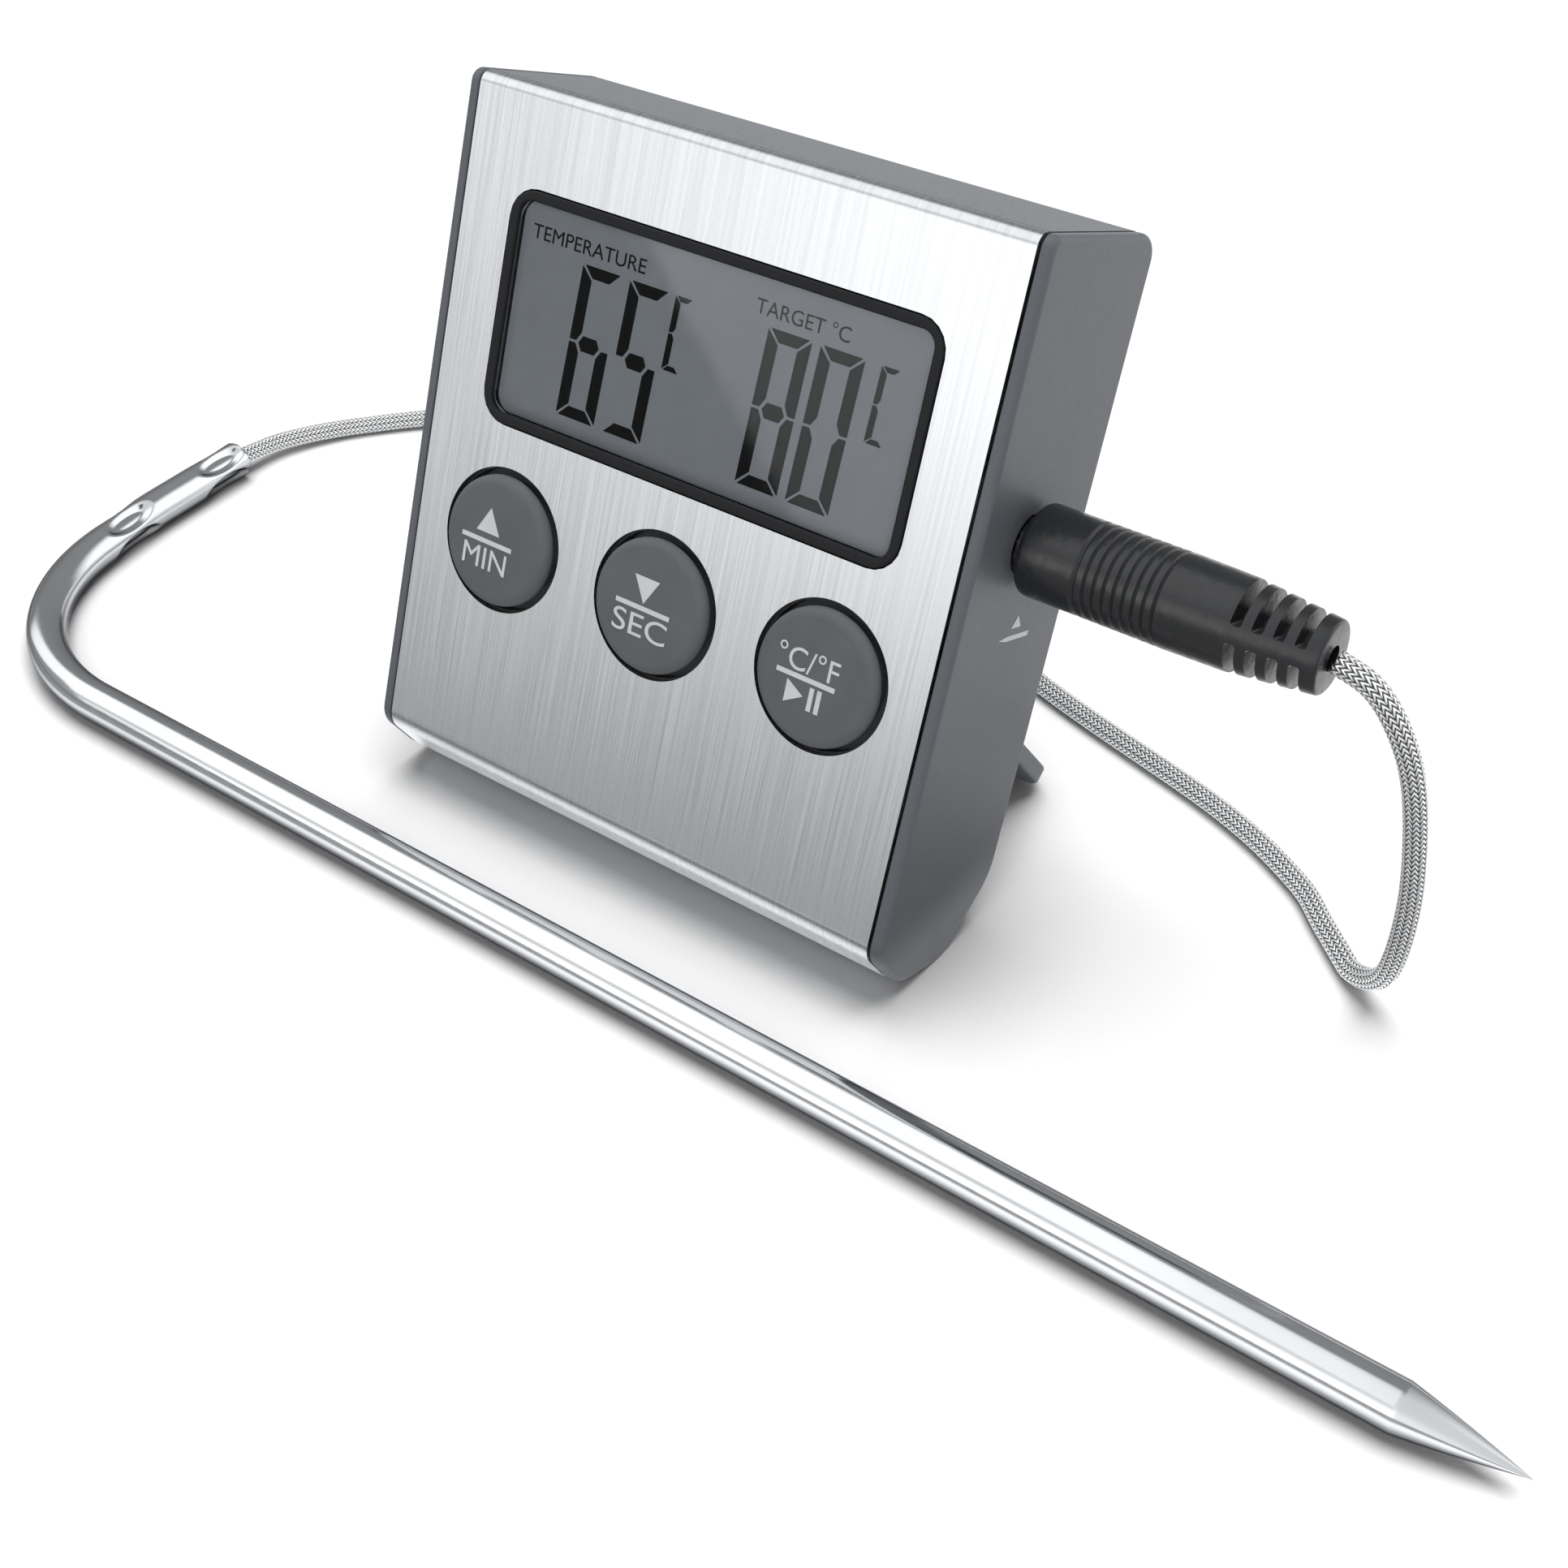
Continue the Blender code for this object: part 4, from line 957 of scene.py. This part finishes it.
PRINT_SHIFTS = {"minute_button": -0.85 * MM, "second_button": -0.35 * MM, "start_button": -0.7 * MM}
PRINT_BAR = 21.17 * MM
PRINT_LEVEL = -BUTTON_PROUD - 0.09 * MM


def flat_print(name, outlines, place, step, body, slot):
    """Printed marks from flat outlines, each point put on the unit by a function, and raised by a step."""
    vertices = []
    faces = []
    for outline in outlines:
        first = len(vertices)
        vertices += [place(*point) for point in outline]
        faces.append(tuple(range(first, first + len(outline))))
    mesh = bpy.data.meshes.new(name)
    mesh.from_pydata(vertices, [], faces)
    thicken_print(mesh, step)
    dress(add_object(name, mesh, UNIT), slot, body, finish=PRINT)


def on_buttons(x, z):
    return (x, PRINT_LEVEL, z)


def on_right_cap(y, z):
    return (HALF_WIDTH - 0.01 * MM, y, z)


def bar_outline(x):
    length = 3.3 * MM
    height = 0.24 * MM
    return rectangle(x - length, x + length, PRINT_BAR - height, PRINT_BAR + height)


def arrow_outline(x, base, tip):
    half = 1.52 * MM
    return [(x - half, base), (x + half, base), (x, tip)]


def play_pause_outlines(x):
    """A play triangle beside two pause bars."""
    low = 18.3 * MM
    high = 20.6 * MM
    outlines = [[(x - 1.9 * MM, low), (x + 0.1 * MM, (low + high) / 2), (x - 1.9 * MM, high)]]
    for start in (0.7 * MM, 1.55 * MM):
        outlines.append(rectangle(x + start, x + start + 0.5 * MM, low, high))
    return outlines


def build_button_prints():
    """On each button a bar, a word on one side of it, and an arrow or marks on the other."""
    rising = (22.07 * MM, 24.7 * MM)
    falling = (24.3 * MM, 21.67 * MM)
    for node, words, base, height, width, arrow in (
        ("minute_button", "MIN", 18.26 * MM, 2.37 * MM, 5.7 * MM, rising),
        ("second_button", "SEC", 18.26 * MM, 2.37 * MM, 6.6 * MM, falling),
        ("start_button", "°C/°F", 21.7 * MM, 2.3 * MM, 6.8 * MM, None),
    ):
        x = button_centre(node).x + PRINT_SHIFTS[node]
        marks = [arrow_outline(x, *arrow)] if arrow else play_pause_outlines(x)
        flat_print(node + "_marks", [bar_outline(x), *marks], on_buttons, FRONT_PRINT, node, "button_rubber")
        lettering(node + "_word", words, (x, base), height, width, PRINT_LEVEL, PRINT, node, "button_rubber")


def build_socket_print():
    """A generic mark under the socket: a probe, and an arrow that shows where its plug goes."""
    base = 28.0 * MM
    point = 8.2 * MM
    shoulder = 9.6 * MM
    end = 13.8 * MM
    top = base + 0.5 * MM
    probe = [(point, (base + top) / 2), (shoulder, base), (end, base), (end, top), (shoulder, top)]
    arrow_base = base + 1.2 * MM
    arrow = [(10.1 * MM, arrow_base), (11.9 * MM, arrow_base), (11.0 * MM, base + 2.4 * MM)]
    flat_print("socket_mark", [probe, arrow], on_right_cap, SIDE_PRINT, "housing", "slate_plastic")


# ---- back of the unit ----


def build_door():
    """The battery door, with four ribs to grip it by."""
    outline = rectangle(DOOR[0].x, DOOR[1].x, DOOR[0].z, DOOR[1].z, 0.8 * MM)
    door = slab("bay_door", outline, DOOR[0].y, DEPTH, 0.2 * MM)
    middle = (DOOR[0].z + DOOR[1].z) / 2
    ribs = []
    for number in range(4):
        x = (number - 1.5) * 2.4 * MM
        rib = rectangle(x - 0.5 * MM, x + 0.5 * MM, middle - 3 * MM, middle + 3 * MM, 0.45 * MM)
        ribs.append(slab(f"rib_{number}", rib, DEPTH - 0.5 * MM, DOOR[1].y, 0.25 * MM))
    join(door, *ribs)
    dress(door, "slate_plastic", "battery_door", "battery_door")


def build_screws():
    """Pan-head case screws with a cross recess."""
    head = 1.8 * MM
    shank = 0.85 * MM
    arm = 1.25 * MM
    slit = 0.28 * MM
    for number, place in enumerate(screw_places(), 1):
        under_head = place.y - SCREW_HEAD
        reach = under_head - unit_box(f"case_screw_{number}")[0].y
        profile = round_profile(
            [
                (0, SCREW_HEAD), (1.0 * MM, 0.78 * MM, 2 * MM), (head, 0.45 * MM, 0.3 * MM),
                (head, 0), (shank, 0), (shank, MM - reach), (0, -reach),
            ]
        )
        origin = (place.x, under_head, place.z)
        screw = lathe(f"case_screw_head_{number}", profile, origin, (0, 1, 0), 48)
        arms = []
        for width, height in ((arm, slit), (slit, arm)):
            low = (place.x - width, under_head + 0.35 * MM, place.z - height)
            high = (place.x + width, place.y + MM, place.z + height)
            arms.append(block(f"arm_{len(arms)}", low, high, 0.1 * MM))
        cut(screw, *arms)
        dress(screw, "nickel_plate", "housing", f"case_screw_{number}")


def build_magnets():
    for node in MAGNETS:
        low, high = unit_box(node)
        middle = unit_middle(node)
        radius = (high.x - low.x) / 2
        depth = high.y - low.y
        edge = 0.25 * MM
        profile = round_profile([(0, 0), (radius, 0, edge), (radius, depth, edge), (0, depth)])
        disc = lathe(node + "_disc", profile, (middle.x, low.y, middle.z), (0, 1, 0))
        dress(disc, "nickel_plate", "housing", node)


def stand_place():
    """The stand's own axes: the leg hangs from the hinge along -Z, swung out by the open angle."""
    low, high = JOINTS["stand_fold"]["range_deg"]
    swing = Matrix.Rotation(math.radians(high - low), 4, "X")
    return UNIT @ Matrix.Translation(HINGE_IN_UNIT) @ swing


def build_stand():
    place = stand_place()
    to_stand = place.inverted()
    points = [to_stand @ v.co for v in frame["nodes"]["stand_leg"].data.vertices]
    length = -min(p.z for p in points)
    half = max(p.x for p in points)
    outline = rounded([(-half, -length, 3.3 * MM), (half, -length, 3.3 * MM), (half, 0), (-half, 0)])
    leg = slab("support_leg", outline, -MM, MM, 0.35 * MM, place)
    barrel = shaft("barrel", (-half, 0, 0), (half, 0, 0), 1.5 * MM, place=place)
    join(leg, barrel)
    dress(leg, "slate_plastic", "stand", "stand_leg")


# ---- plug ----


def plug_slots(start, middle):
    """Cutters for the strain relief: four slots above and four below, which leave a core round the lead."""
    half_width = 0.5 * MM
    past = 6 * MM
    slots = []
    for number in range(4):
        x = start + (0.9 + 1.9 * number) * MM
        for side in (-1, 1):
            near, far = sorted((middle[1] + side * 0.8 * MM, middle[1] + side * past))
            low = (x - half_width, middle[0] - past, near)
            high = (x + half_width, middle[0] + past, far)
            slot = block(f"slot_{number}_{side + 1}", low, high, 0.3 * MM)
            cut(slot, shaft("slot_core", (x - 2 * MM, *middle), (x + 2 * MM, *middle), 1.6 * MM))
            slots.append(slot)
    return slots


def build_plug():
    """The moulded grip: a plain nose, nine finger rings, and a tapered strain relief with slots."""
    start = PLUG[0].x
    length = PLUG[1].x - start
    radius = (PLUG[1].z - PLUG[0].z) / 2
    taper = 20.5 * MM
    tail = radius - 1.0 * MM
    bore = 1.45 * MM
    lead_bore = 1.17 * MM
    rings = 6.2 * MM
    pitch = 0.98 * MM
    depth = 0.25 * MM
    edge = 0.1 * MM
    profile = [(lead_bore, length), (tail, length, 0.35 * MM), (radius - 0.12 * MM, taper, 2 * MM)]
    for ring in reversed(range(9)):
        at = rings + ring * pitch
        profile.append((radius, at + 0.82 * pitch, edge))
        profile.append((radius, at + 0.18 * pitch, edge))
        profile.append((radius - depth, at, 0.06 * MM))
    profile += [(radius, rings - 0.3 * MM, edge), (radius, 0, 0.7 * MM)]
    profile += [(bore, 0), (bore, taper), (lead_bore, taper + 0.4 * MM)]
    middle = plug_axis()
    grip = lathe("plug_body", round_profile(profile, 4), (start, *middle), (1, 0, 0), 96)
    cut(grip, *plug_slots(start + taper, middle))
    soften(grip, 0.1 * MM)
    dress(grip, "plug_rubber", "lead", "plug_grip")


# ---- lead ----

CABLE_RADIUS = 1.15 * MM
STITCH = 0.62 * MM
WALES = 10
COLUMNS = 6
ROWS = 5
CABLE_TURN_IN = 4 * MM
CABLE_SPLIT = 11 * MM

# The lead's way in millimetres, from the plug down to the ground, round behind the unit and to the probe
CABLE_WAY = (
    (62.9, 21.2, 42.5), (66.3, 21.3, 41.3), (68.8, 21.7, 38.4), (70.7, 22.8, 33.4), (71.7, 24.4, 26.5),
    (72.2, 26.2, 17.2), (71.6, 27.8, 8.4), (70.1, 29.2, 3.9), (66.6, 31.7, 1.2), (61.8, 36.0, 1.15),
    (56.2, 40.8, 1.15), (44.2, 46.6, 1.15), (19.6, 53.9, 1.15), (-8.0, 64.0, 1.15), (-36.0, 72.5, 1.15),
    (-60.0, 71.5, 1.15), (-77.0, 63.6, 1.15), (-88.6, 51.8, 1.15), (-93.7, 41.9, 1.7), (-94.43, 34.16, 2.35),
)
WAY_PIVOT = Vector((-94.37, 33.36, 0.0))


def smooth_way(points, steps):
    """A Catmull-Rom curve through the points."""
    points = [Vector(p) for p in points]
    ends = [2 * points[0] - points[1], *points, 2 * points[-1] - points[-2]]
    way = []
    for a, b, c, d in zip(ends, ends[1:], ends[2:], ends[3:]):
        for i in range(steps):
            t = i / steps
            bend = 2 * a - 5 * b + 4 * c - d
            twist = 3 * b - a - 3 * c + d
            way.append((2 * b + (c - a) * t + bend * t * t + twist * t * t * t) / 2)
    return [*way, points[-1]]


def cable_way():
    """The lead's centre line from inside the plug to inside the probe's mouth, as an array of points."""
    shift = Vector((PROBE_PIVOT.x, PROBE_PIVOT.y, 0)) - WAY_PIVOT * MM
    way = [p + shift for p in smooth_way([Vector(p) * MM for p in CABLE_WAY], 24)]
    for point in way:
        point.z = max(point.z, CABLE_RADIUS)
    way = [p for p in way if (p - PROBE_PIVOT).length > 1.2 * MM]
    way += [PROBE_PIVOT - handle_direction() * CABLE_TURN_IN * i / 8 for i in range(9)]
    return np.array(way)


def even_way(way, spacing):
    """A polyline resampled at equal distances."""
    lengths = np.concatenate([[0], np.cumsum(np.linalg.norm(np.diff(way, axis=0), axis=1))])
    stations = np.arange(0, lengths[-1], spacing)
    return np.stack([np.interp(stations, lengths, way[:, axis]) for axis in range(3)], axis=1), stations


def steady_frames(way):
    """Tangents and two cross directions along a polyline, carried along it without twist."""
    tangents = np.gradient(way, axis=0)
    tangents /= np.linalg.norm(tangents, axis=1)[:, None]
    across = np.cross(tangents[0], (0, 0, 1.0))
    across /= np.linalg.norm(across)
    firsts = []
    for tangent in tangents:
        across = across - tangent * np.dot(across, tangent)
        across /= np.linalg.norm(across)
        firsts.append(across)
    firsts = np.array(firsts)
    return tangents, firsts, np.cross(tangents, firsts)


def braid_rings(way, stations, radius):
    """The points of a knitted sleeve, ring by ring, and how high each strand stands at them."""
    _, firsts, seconds = steady_frames(way)
    sides = WALES * COLUMNS
    column = np.arange(sides)
    in_wale = (column % COLUMNS) / COLUMNS
    angles = math.tau * column / sides
    zigzag = np.abs(in_wale - 0.5) * 2
    slope = STITCH * 0.95
    spacing = stations[1] - stations[0]
    rings = []
    heights = []
    for row in range(len(way)):
        phase = (stations[row] / STITCH) % 1.0
        ridge = 0.5 + 0.5 * math.cos(math.tau * phase)
        height = ridge * (0.35 + 0.65 * np.sin(math.pi * in_wale) ** 0.5)
        shift = np.clip(row + (zigzag - 0.5) * slope / spacing, 0, len(way) - 1)
        base = np.floor(shift).astype(int)
        ahead = np.minimum(base + 1, len(way) - 1)
        part = (shift - base)[:, None]
        centre = way[base] * (1 - part) + way[ahead] * part
        first = firsts[base] * (1 - part) + firsts[ahead] * part
        second = seconds[base] * (1 - part) + seconds[ahead] * part
        reach = radius * (0.86 + 0.14 * height)[:, None]
        rings.append(centre + reach * (first * np.cos(angles)[:, None] + second * np.sin(angles)[:, None]))
        heights.append(height)
    return rings, heights


def braid_piece(name, rings, heights):
    """A closed length of the sleeve, with its strand heights kept for the material's painted shade and highlight.
    """
    mesh = bpy.data.meshes.new(name)
    mesh.from_pydata(np.concatenate(rings).tolist(), [], skin_faces(len(rings), len(rings[0])))
    layer = mesh.attributes.new("strand", "FLOAT", "POINT")
    layer.data.foreach_set("value", np.concatenate(heights).astype(np.float32))
    mesh.shade_smooth()
    obj = add_object(name, mesh)
    obj.data.materials.append(FINISHES["braided_steel"])
    return obj


def build_cable():
    """The braided lead in two lengths: a long one on the lead, and a short one that curves into the probe's mouth,
    baked where it lies.
    """
    way, stations = even_way(cable_way(), STITCH / ROWS)
    rings, heights = braid_rings(way, stations, CABLE_RADIUS)
    split = np.searchsorted(stations, stations[-1] - CABLE_SPLIT)
    long_part = braid_piece("braided_lead", rings[: split + 1], heights[: split + 1])
    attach(long_part, "lead")
    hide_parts("cable")
    end_part = braid_piece("braided_lead_end", rings[split:], heights[split:])
    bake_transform(end_part)


# ---- probe ----

PROBE_RADIUS = PROBE_PIVOT.z
PROBE_CONE = 10.8 * MM
CONE_BULGE = 0.16
POINT_RADIUS = 0.02 * MM
MOUTH_WALL = 0.35 * MM
HANDLE_BOW = 45.0 * MM
PROBE_BEND = 26.5 * MM

# Two rows of four crimps that hold the lead, as distances from the probe's mouth
CRIMP_PLACES = (4.0 * MM, 20.8 * MM)
CRIMP_DEPTH = 0.75 * MM
CRIMP_SLOPE = 0.75
CRIMP_HALF_LENGTH = 4.4 * MM
CRIMP_HALF_ANGLE = 0.72
CRIMP_TURN = 1.05


def probe_corners():
    """The ground points where the runs of the probe would meet: mouth, bow of the handle, bend, shoulder."""
    low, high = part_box("probe_tube")
    mouth = Vector((PROBE_PIVOT.x, PROBE_PIVOT.y))
    run = low.y + PROBE_RADIUS
    bow = mouth + Vector((1.27 * MM, -16.06 * MM))
    bend = Vector((mouth.x + 6.67 * MM, run))
    return mouth, bow, bend, Vector((high.x - PROBE_CONE, run))


def handle_direction():
    """Out of the mouth of the probe, along the handle's axis."""
    mouth, bow, _, _ = probe_corners()
    return (mouth - bow).normalized().to_3d()


def probe_way():
    """The probe's centre line from its mouth round the bend to the shoulder of its cone."""
    mouth, bow, bend, shoulder = probe_corners()
    corners = [mouth, (*bow, HANDLE_BOW), (*bend, PROBE_BEND), shoulder]
    return np.array([(*p, PROBE_RADIUS) for p in rounded(corners, closed=False, steps=40)])


def crimp_depth(distance, angle):
    """How far the handle is pressed in at a distance from its mouth and an angle round it."""
    depth = 0.0
    for middle in CRIMP_PLACES:
        along = (distance - middle) / CRIMP_HALF_LENGTH
        if abs(along) >= 1:
            continue
        for jaw in range(4):
            turn = (angle - CRIMP_TURN - jaw * math.pi / 2 + math.pi) % math.tau - math.pi
            reach = along**2 + (turn / CRIMP_HALF_ANGLE) ** 2
            if reach < 1:
                rise = min(1.0, (1 - reach) / CRIMP_SLOPE)
                depth = max(depth, CRIMP_DEPTH * rise**2 * (3 - 2 * rise))
    return depth


def build_probe():
    """The polished tube: an open crimped mouth, a bowed handle, the bend, the long run and a sharp cone."""
    way, stations = even_way(probe_way(), 0.25 * MM)
    tangents, firsts, seconds = steady_frames(way)
    sides = 96
    angles = [math.tau * i / sides for i in range(sides)]

    def ring(index, wall):
        """A ring of the tube, drawn in by part of its wall and by the crimps."""
        points = []
        for a in angles:
            spoke = firsts[index] * math.cos(a) + seconds[index] * math.sin(a)
            radius = PROBE_RADIUS - wall - crimp_depth(stations[index], a)
            points.append(Vector(way[index] + radius * spoke))
        return points

    bore_rings = 32
    sections = [ring(index, MOUTH_WALL) for index in range(bore_rings, -1, -1)]
    sections.append(ring(0, MOUTH_WALL * 0.4))
    sections += [ring(index, 0.0) for index in range(1, len(way))]
    _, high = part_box("probe_tube")
    length = high.x - way[-1][0]
    spokes = [firsts[-1] * math.cos(a) + seconds[-1] * math.sin(a) for a in angles]
    steps = 40
    for step in range(1, steps + 1):
        share = step / steps
        radius = max(PROBE_RADIUS * (1 - share) * (1 + CONE_BULGE * share), POINT_RADIUS)
        spot = way[-1] + tangents[-1] * length * share
        sections.append([Vector(spot + radius * spoke) for spoke in spokes])
    tube = stack("probe_body", sections, Matrix.Identity(4), sharp=50)
    dress(tube, "polished_steel", "probe", "probe_tube")


# ---- stage ----


# (distance in millimetres, painted brightness in the metal of the table top in front of the object)
TABLE_PAINTED_IN_METAL = ((0, 1.7), (7, 1.5), (14, 0.34), (30, 0.28), (60, 0.3), (120, 0.34), (300, 0.4), (600, 0.5))
# Painted brightness in the metal of the table top behind the object
TABLE_PAINTED_BEHIND = 1.1
# How far the table's painted contact shadow reaches from what stands on it
PAINTED_SHADOW_REACH = 15 * MM


def floor_material():
    """A white table top with tight painted contact shadows, and a painted reflection that the metal shows as dim
    in front of the object.
    """
    finish = Finish("table_white", (0.9, 0.9, 0.905), 0.25)
    rays = finish.add("ShaderNodeLightPath")
    # Painted reflection: glossy rays see the table's colour set by ray length in front of the object, and level
    # behind it
    reach = TABLE_PAINTED_IN_METAL[-1][0] * MM
    table = finish.ramp(finish.span(rays.outputs["Ray Length"], 0.0, 1.0, 0.0, reach), TABLE_PAINTED_IN_METAL)
    place = finish.add("ShaderNodeSeparateXYZ", None, Vector=finish.coordinates)
    behind = finish.span(place.outputs["Y"], 0.0, 1.0, -8 * MM, 12 * MM)
    painted_in_metal = finish.mixed(behind, table, TABLE_PAINTED_BEHIND)
    # Painted shadow: ambient occlusion darkens the table's colour close to what stands on it
    contact = finish.add("ShaderNodeAmbientOcclusion", {"samples": 8}, Distance=PAINTED_SHADOW_REACH)
    painted_shadow = finish.span(contact.outputs["AO"], 0.35, 1.0, 0.0, 1.0)
    finish.tint(finish.mixed(rays.outputs["Is Glossy Ray"], painted_shadow, painted_in_metal))
    finish.set("Specular IOR Level", finish.span(rays.outputs["Is Glossy Ray"], 0.5, 0.0, 0.0, 1.0))
    return finish.material


def build_floor():
    bpy.ops.mesh.primitive_plane_add(size=6.0)
    floor = bpy.context.object
    floor.name = "table"
    floor.data.materials.append(floor_material())


CAMERA_AZIMUTH = math.radians(36.69)
CAMERA_ELEVATION = math.radians(38.42)
CAMERA_DISTANCE = 217 * MM
CAMERA_AIM = Vector((PROBE_PIVOT.x, PROBE_PIVOT.y, 0)) + (Vector((12.6, 11.3, 11.8)) - WAY_PIVOT) * MM
CAMERA_TURN = Euler((math.pi / 2 - CAMERA_ELEVATION, 0, CAMERA_AZIMUTH))
CAMERA_PLACE = CAMERA_AIM + CAMERA_TURN.to_matrix() @ Vector((0, 0, CAMERA_DISTANCE))

# The front soft box ends along a line that shows across the window, between these places on the face
SHEEN_START = Vector((-8.2 * MM, 0.35 * MM, 54.3 * MM))
SHEEN_END = Vector((14.2 * MM, 0.35 * MM, 33.7 * MM))

# (elevation over the front horizon in degrees, brightness in the metal)
OVERHEAD = ((110, 1.45), (119, 0.3), (180, 0.3))
STUDIO = ((0, 1.5), (8, 2.6), (23, 1.5), (34, 0.75), (39, 0.75), (46, 1.45), *OVERHEAD)
SHADED_STUDIO = ((0, 0.22), (8, 0.25), (23, 0.4), (34, 0.4), (52, 0.4), (62, 1.45), *OVERHEAD)
RIGHT_STUDIO = ((0, 1.5), (20, 1.5), (45, 0.95), (95, 0.85), (116, 0.3), (180, 0.3))
FAR_RIGHT_STUDIO = ((0, 0.9), (45, 0.85), (95, 0.85), (118, 1.4), (180, 1.4))

# (studio, where it starts and where it is full, as the x of a direction)
SIDE_STUDIOS = ((RIGHT_STUDIO, -0.3, 0.05), (FAR_RIGHT_STUDIO, 0.08, 0.36))
SHEEN_BLUR = 0.002
AMBIENT = 0.1


def soft_box_side():
    """The direction that points into the front soft box from its edge."""
    eye = TO_UNIT @ CAMERA_PLACE
    turn = UNIT.to_3x3()
    bounces = []
    for place in (SHEEN_START, SHEEN_END):
        sight = place - eye
        bounces.append((turn @ Vector((sight.x, -sight.y, sight.z))).normalized())
    side = bounces[0].cross(bounces[1]).normalized()
    return side if side.x > 0 else -side


def build_world():
    """White to the camera, faint light on what is dull, and a studio of bands in the metal."""
    world = bpy.data.worlds.new("studio")
    bpy.context.scene.world = world
    world.use_nodes = True
    world.node_tree.nodes.clear()
    nodes = Nodes(world.node_tree)
    place = nodes.add("ShaderNodeTexCoord").outputs["Generated"]
    sky = nodes.add("ShaderNodeSeparateXYZ", None, Vector=place)
    front = nodes.product(sky.outputs["Y"], -1)
    turn = nodes.math("DIVIDE", nodes.math("ARCTAN2", sky.outputs["Z"], front), math.pi)
    side = nodes.add("ShaderNodeVectorMath", {"operation": "DOT_PRODUCT"}, Vector=place)
    nodes.fill(side.inputs[1], soft_box_side())
    edge = nodes.span(side.outputs["Value"], 0.0, 1.0, -SHEEN_BLUR, SHEEN_BLUR)
    level = nodes.mixed(edge, nodes.ramp(turn, SHADED_STUDIO), nodes.ramp(turn, STUDIO))
    for stops, start, stop in SIDE_STUDIOS:
        share = nodes.span(sky.outputs["X"], 0.0, 1.0, start, stop)
        level = nodes.mixed(share, level, nodes.ramp(turn, stops))
    studio = nodes.add("ShaderNodeBackground", None, Color=level)
    ambient = nodes.add("ShaderNodeBackground", None, Color=(1, 1, 1.01, 1), Strength=AMBIENT)
    white = nodes.add("ShaderNodeBackground", None, Color=(1, 1, 1, 1))
    rays = nodes.add("ShaderNodeLightPath")
    unseen = nodes.mixed_shaders(rays.outputs["Is Glossy Ray"], ambient, studio)
    sight = nodes.mixed_shaders(rays.outputs["Is Camera Ray"], unseen, white)
    nodes.add("ShaderNodeOutputWorld", None, Surface=sight.outputs[0])


def add_light(name, direction, strength):
    """A wide, soft and distant light, which doesn't show in the metal."""
    lamp = bpy.data.lights.new(name, "SUN")
    lamp.angle = math.radians(50)
    lamp.energy = strength
    light = add_object(name, lamp)
    light.rotation_mode = "QUATERNION"
    light.rotation_quaternion = Vector(direction).to_track_quat("Z", "Y")
    light.visible_glossy = False


def build_lights():
    add_light("overhead", (-0.04, 0.15, 1.0), 3.8)
    add_light("fill", (0.5, -0.85, 0.45), 1.3)


def build_camera():
    """Looks at the object from the right and above."""
    lens = bpy.data.cameras.new("camera")
    lens.sensor_width = 36
    lens.lens = 49.49
    lens.clip_start = 0.01
    camera = add_object("camera", lens)
    camera.location = CAMERA_PLACE
    camera.rotation_euler = CAMERA_TURN
    bpy.context.scene.camera = camera


paint_cad_nodes()
build_face_plate()
build_end_cap("left_cap", "left_end_cap", -1)
build_end_cap("right_cap", "right_end_cap", 1)
build_rear_cover()
build_bezel()
build_display()
build_readings()
build_display_words()
build_buttons()
build_button_prints()
build_socket_print()
build_door()
build_screws()
build_magnets()
build_stand()
build_plug()
build_cable()
build_probe()
build_floor()
build_world()
build_lights()
build_camera()
bpy.context.scene.view_settings.view_transform = "Standard"
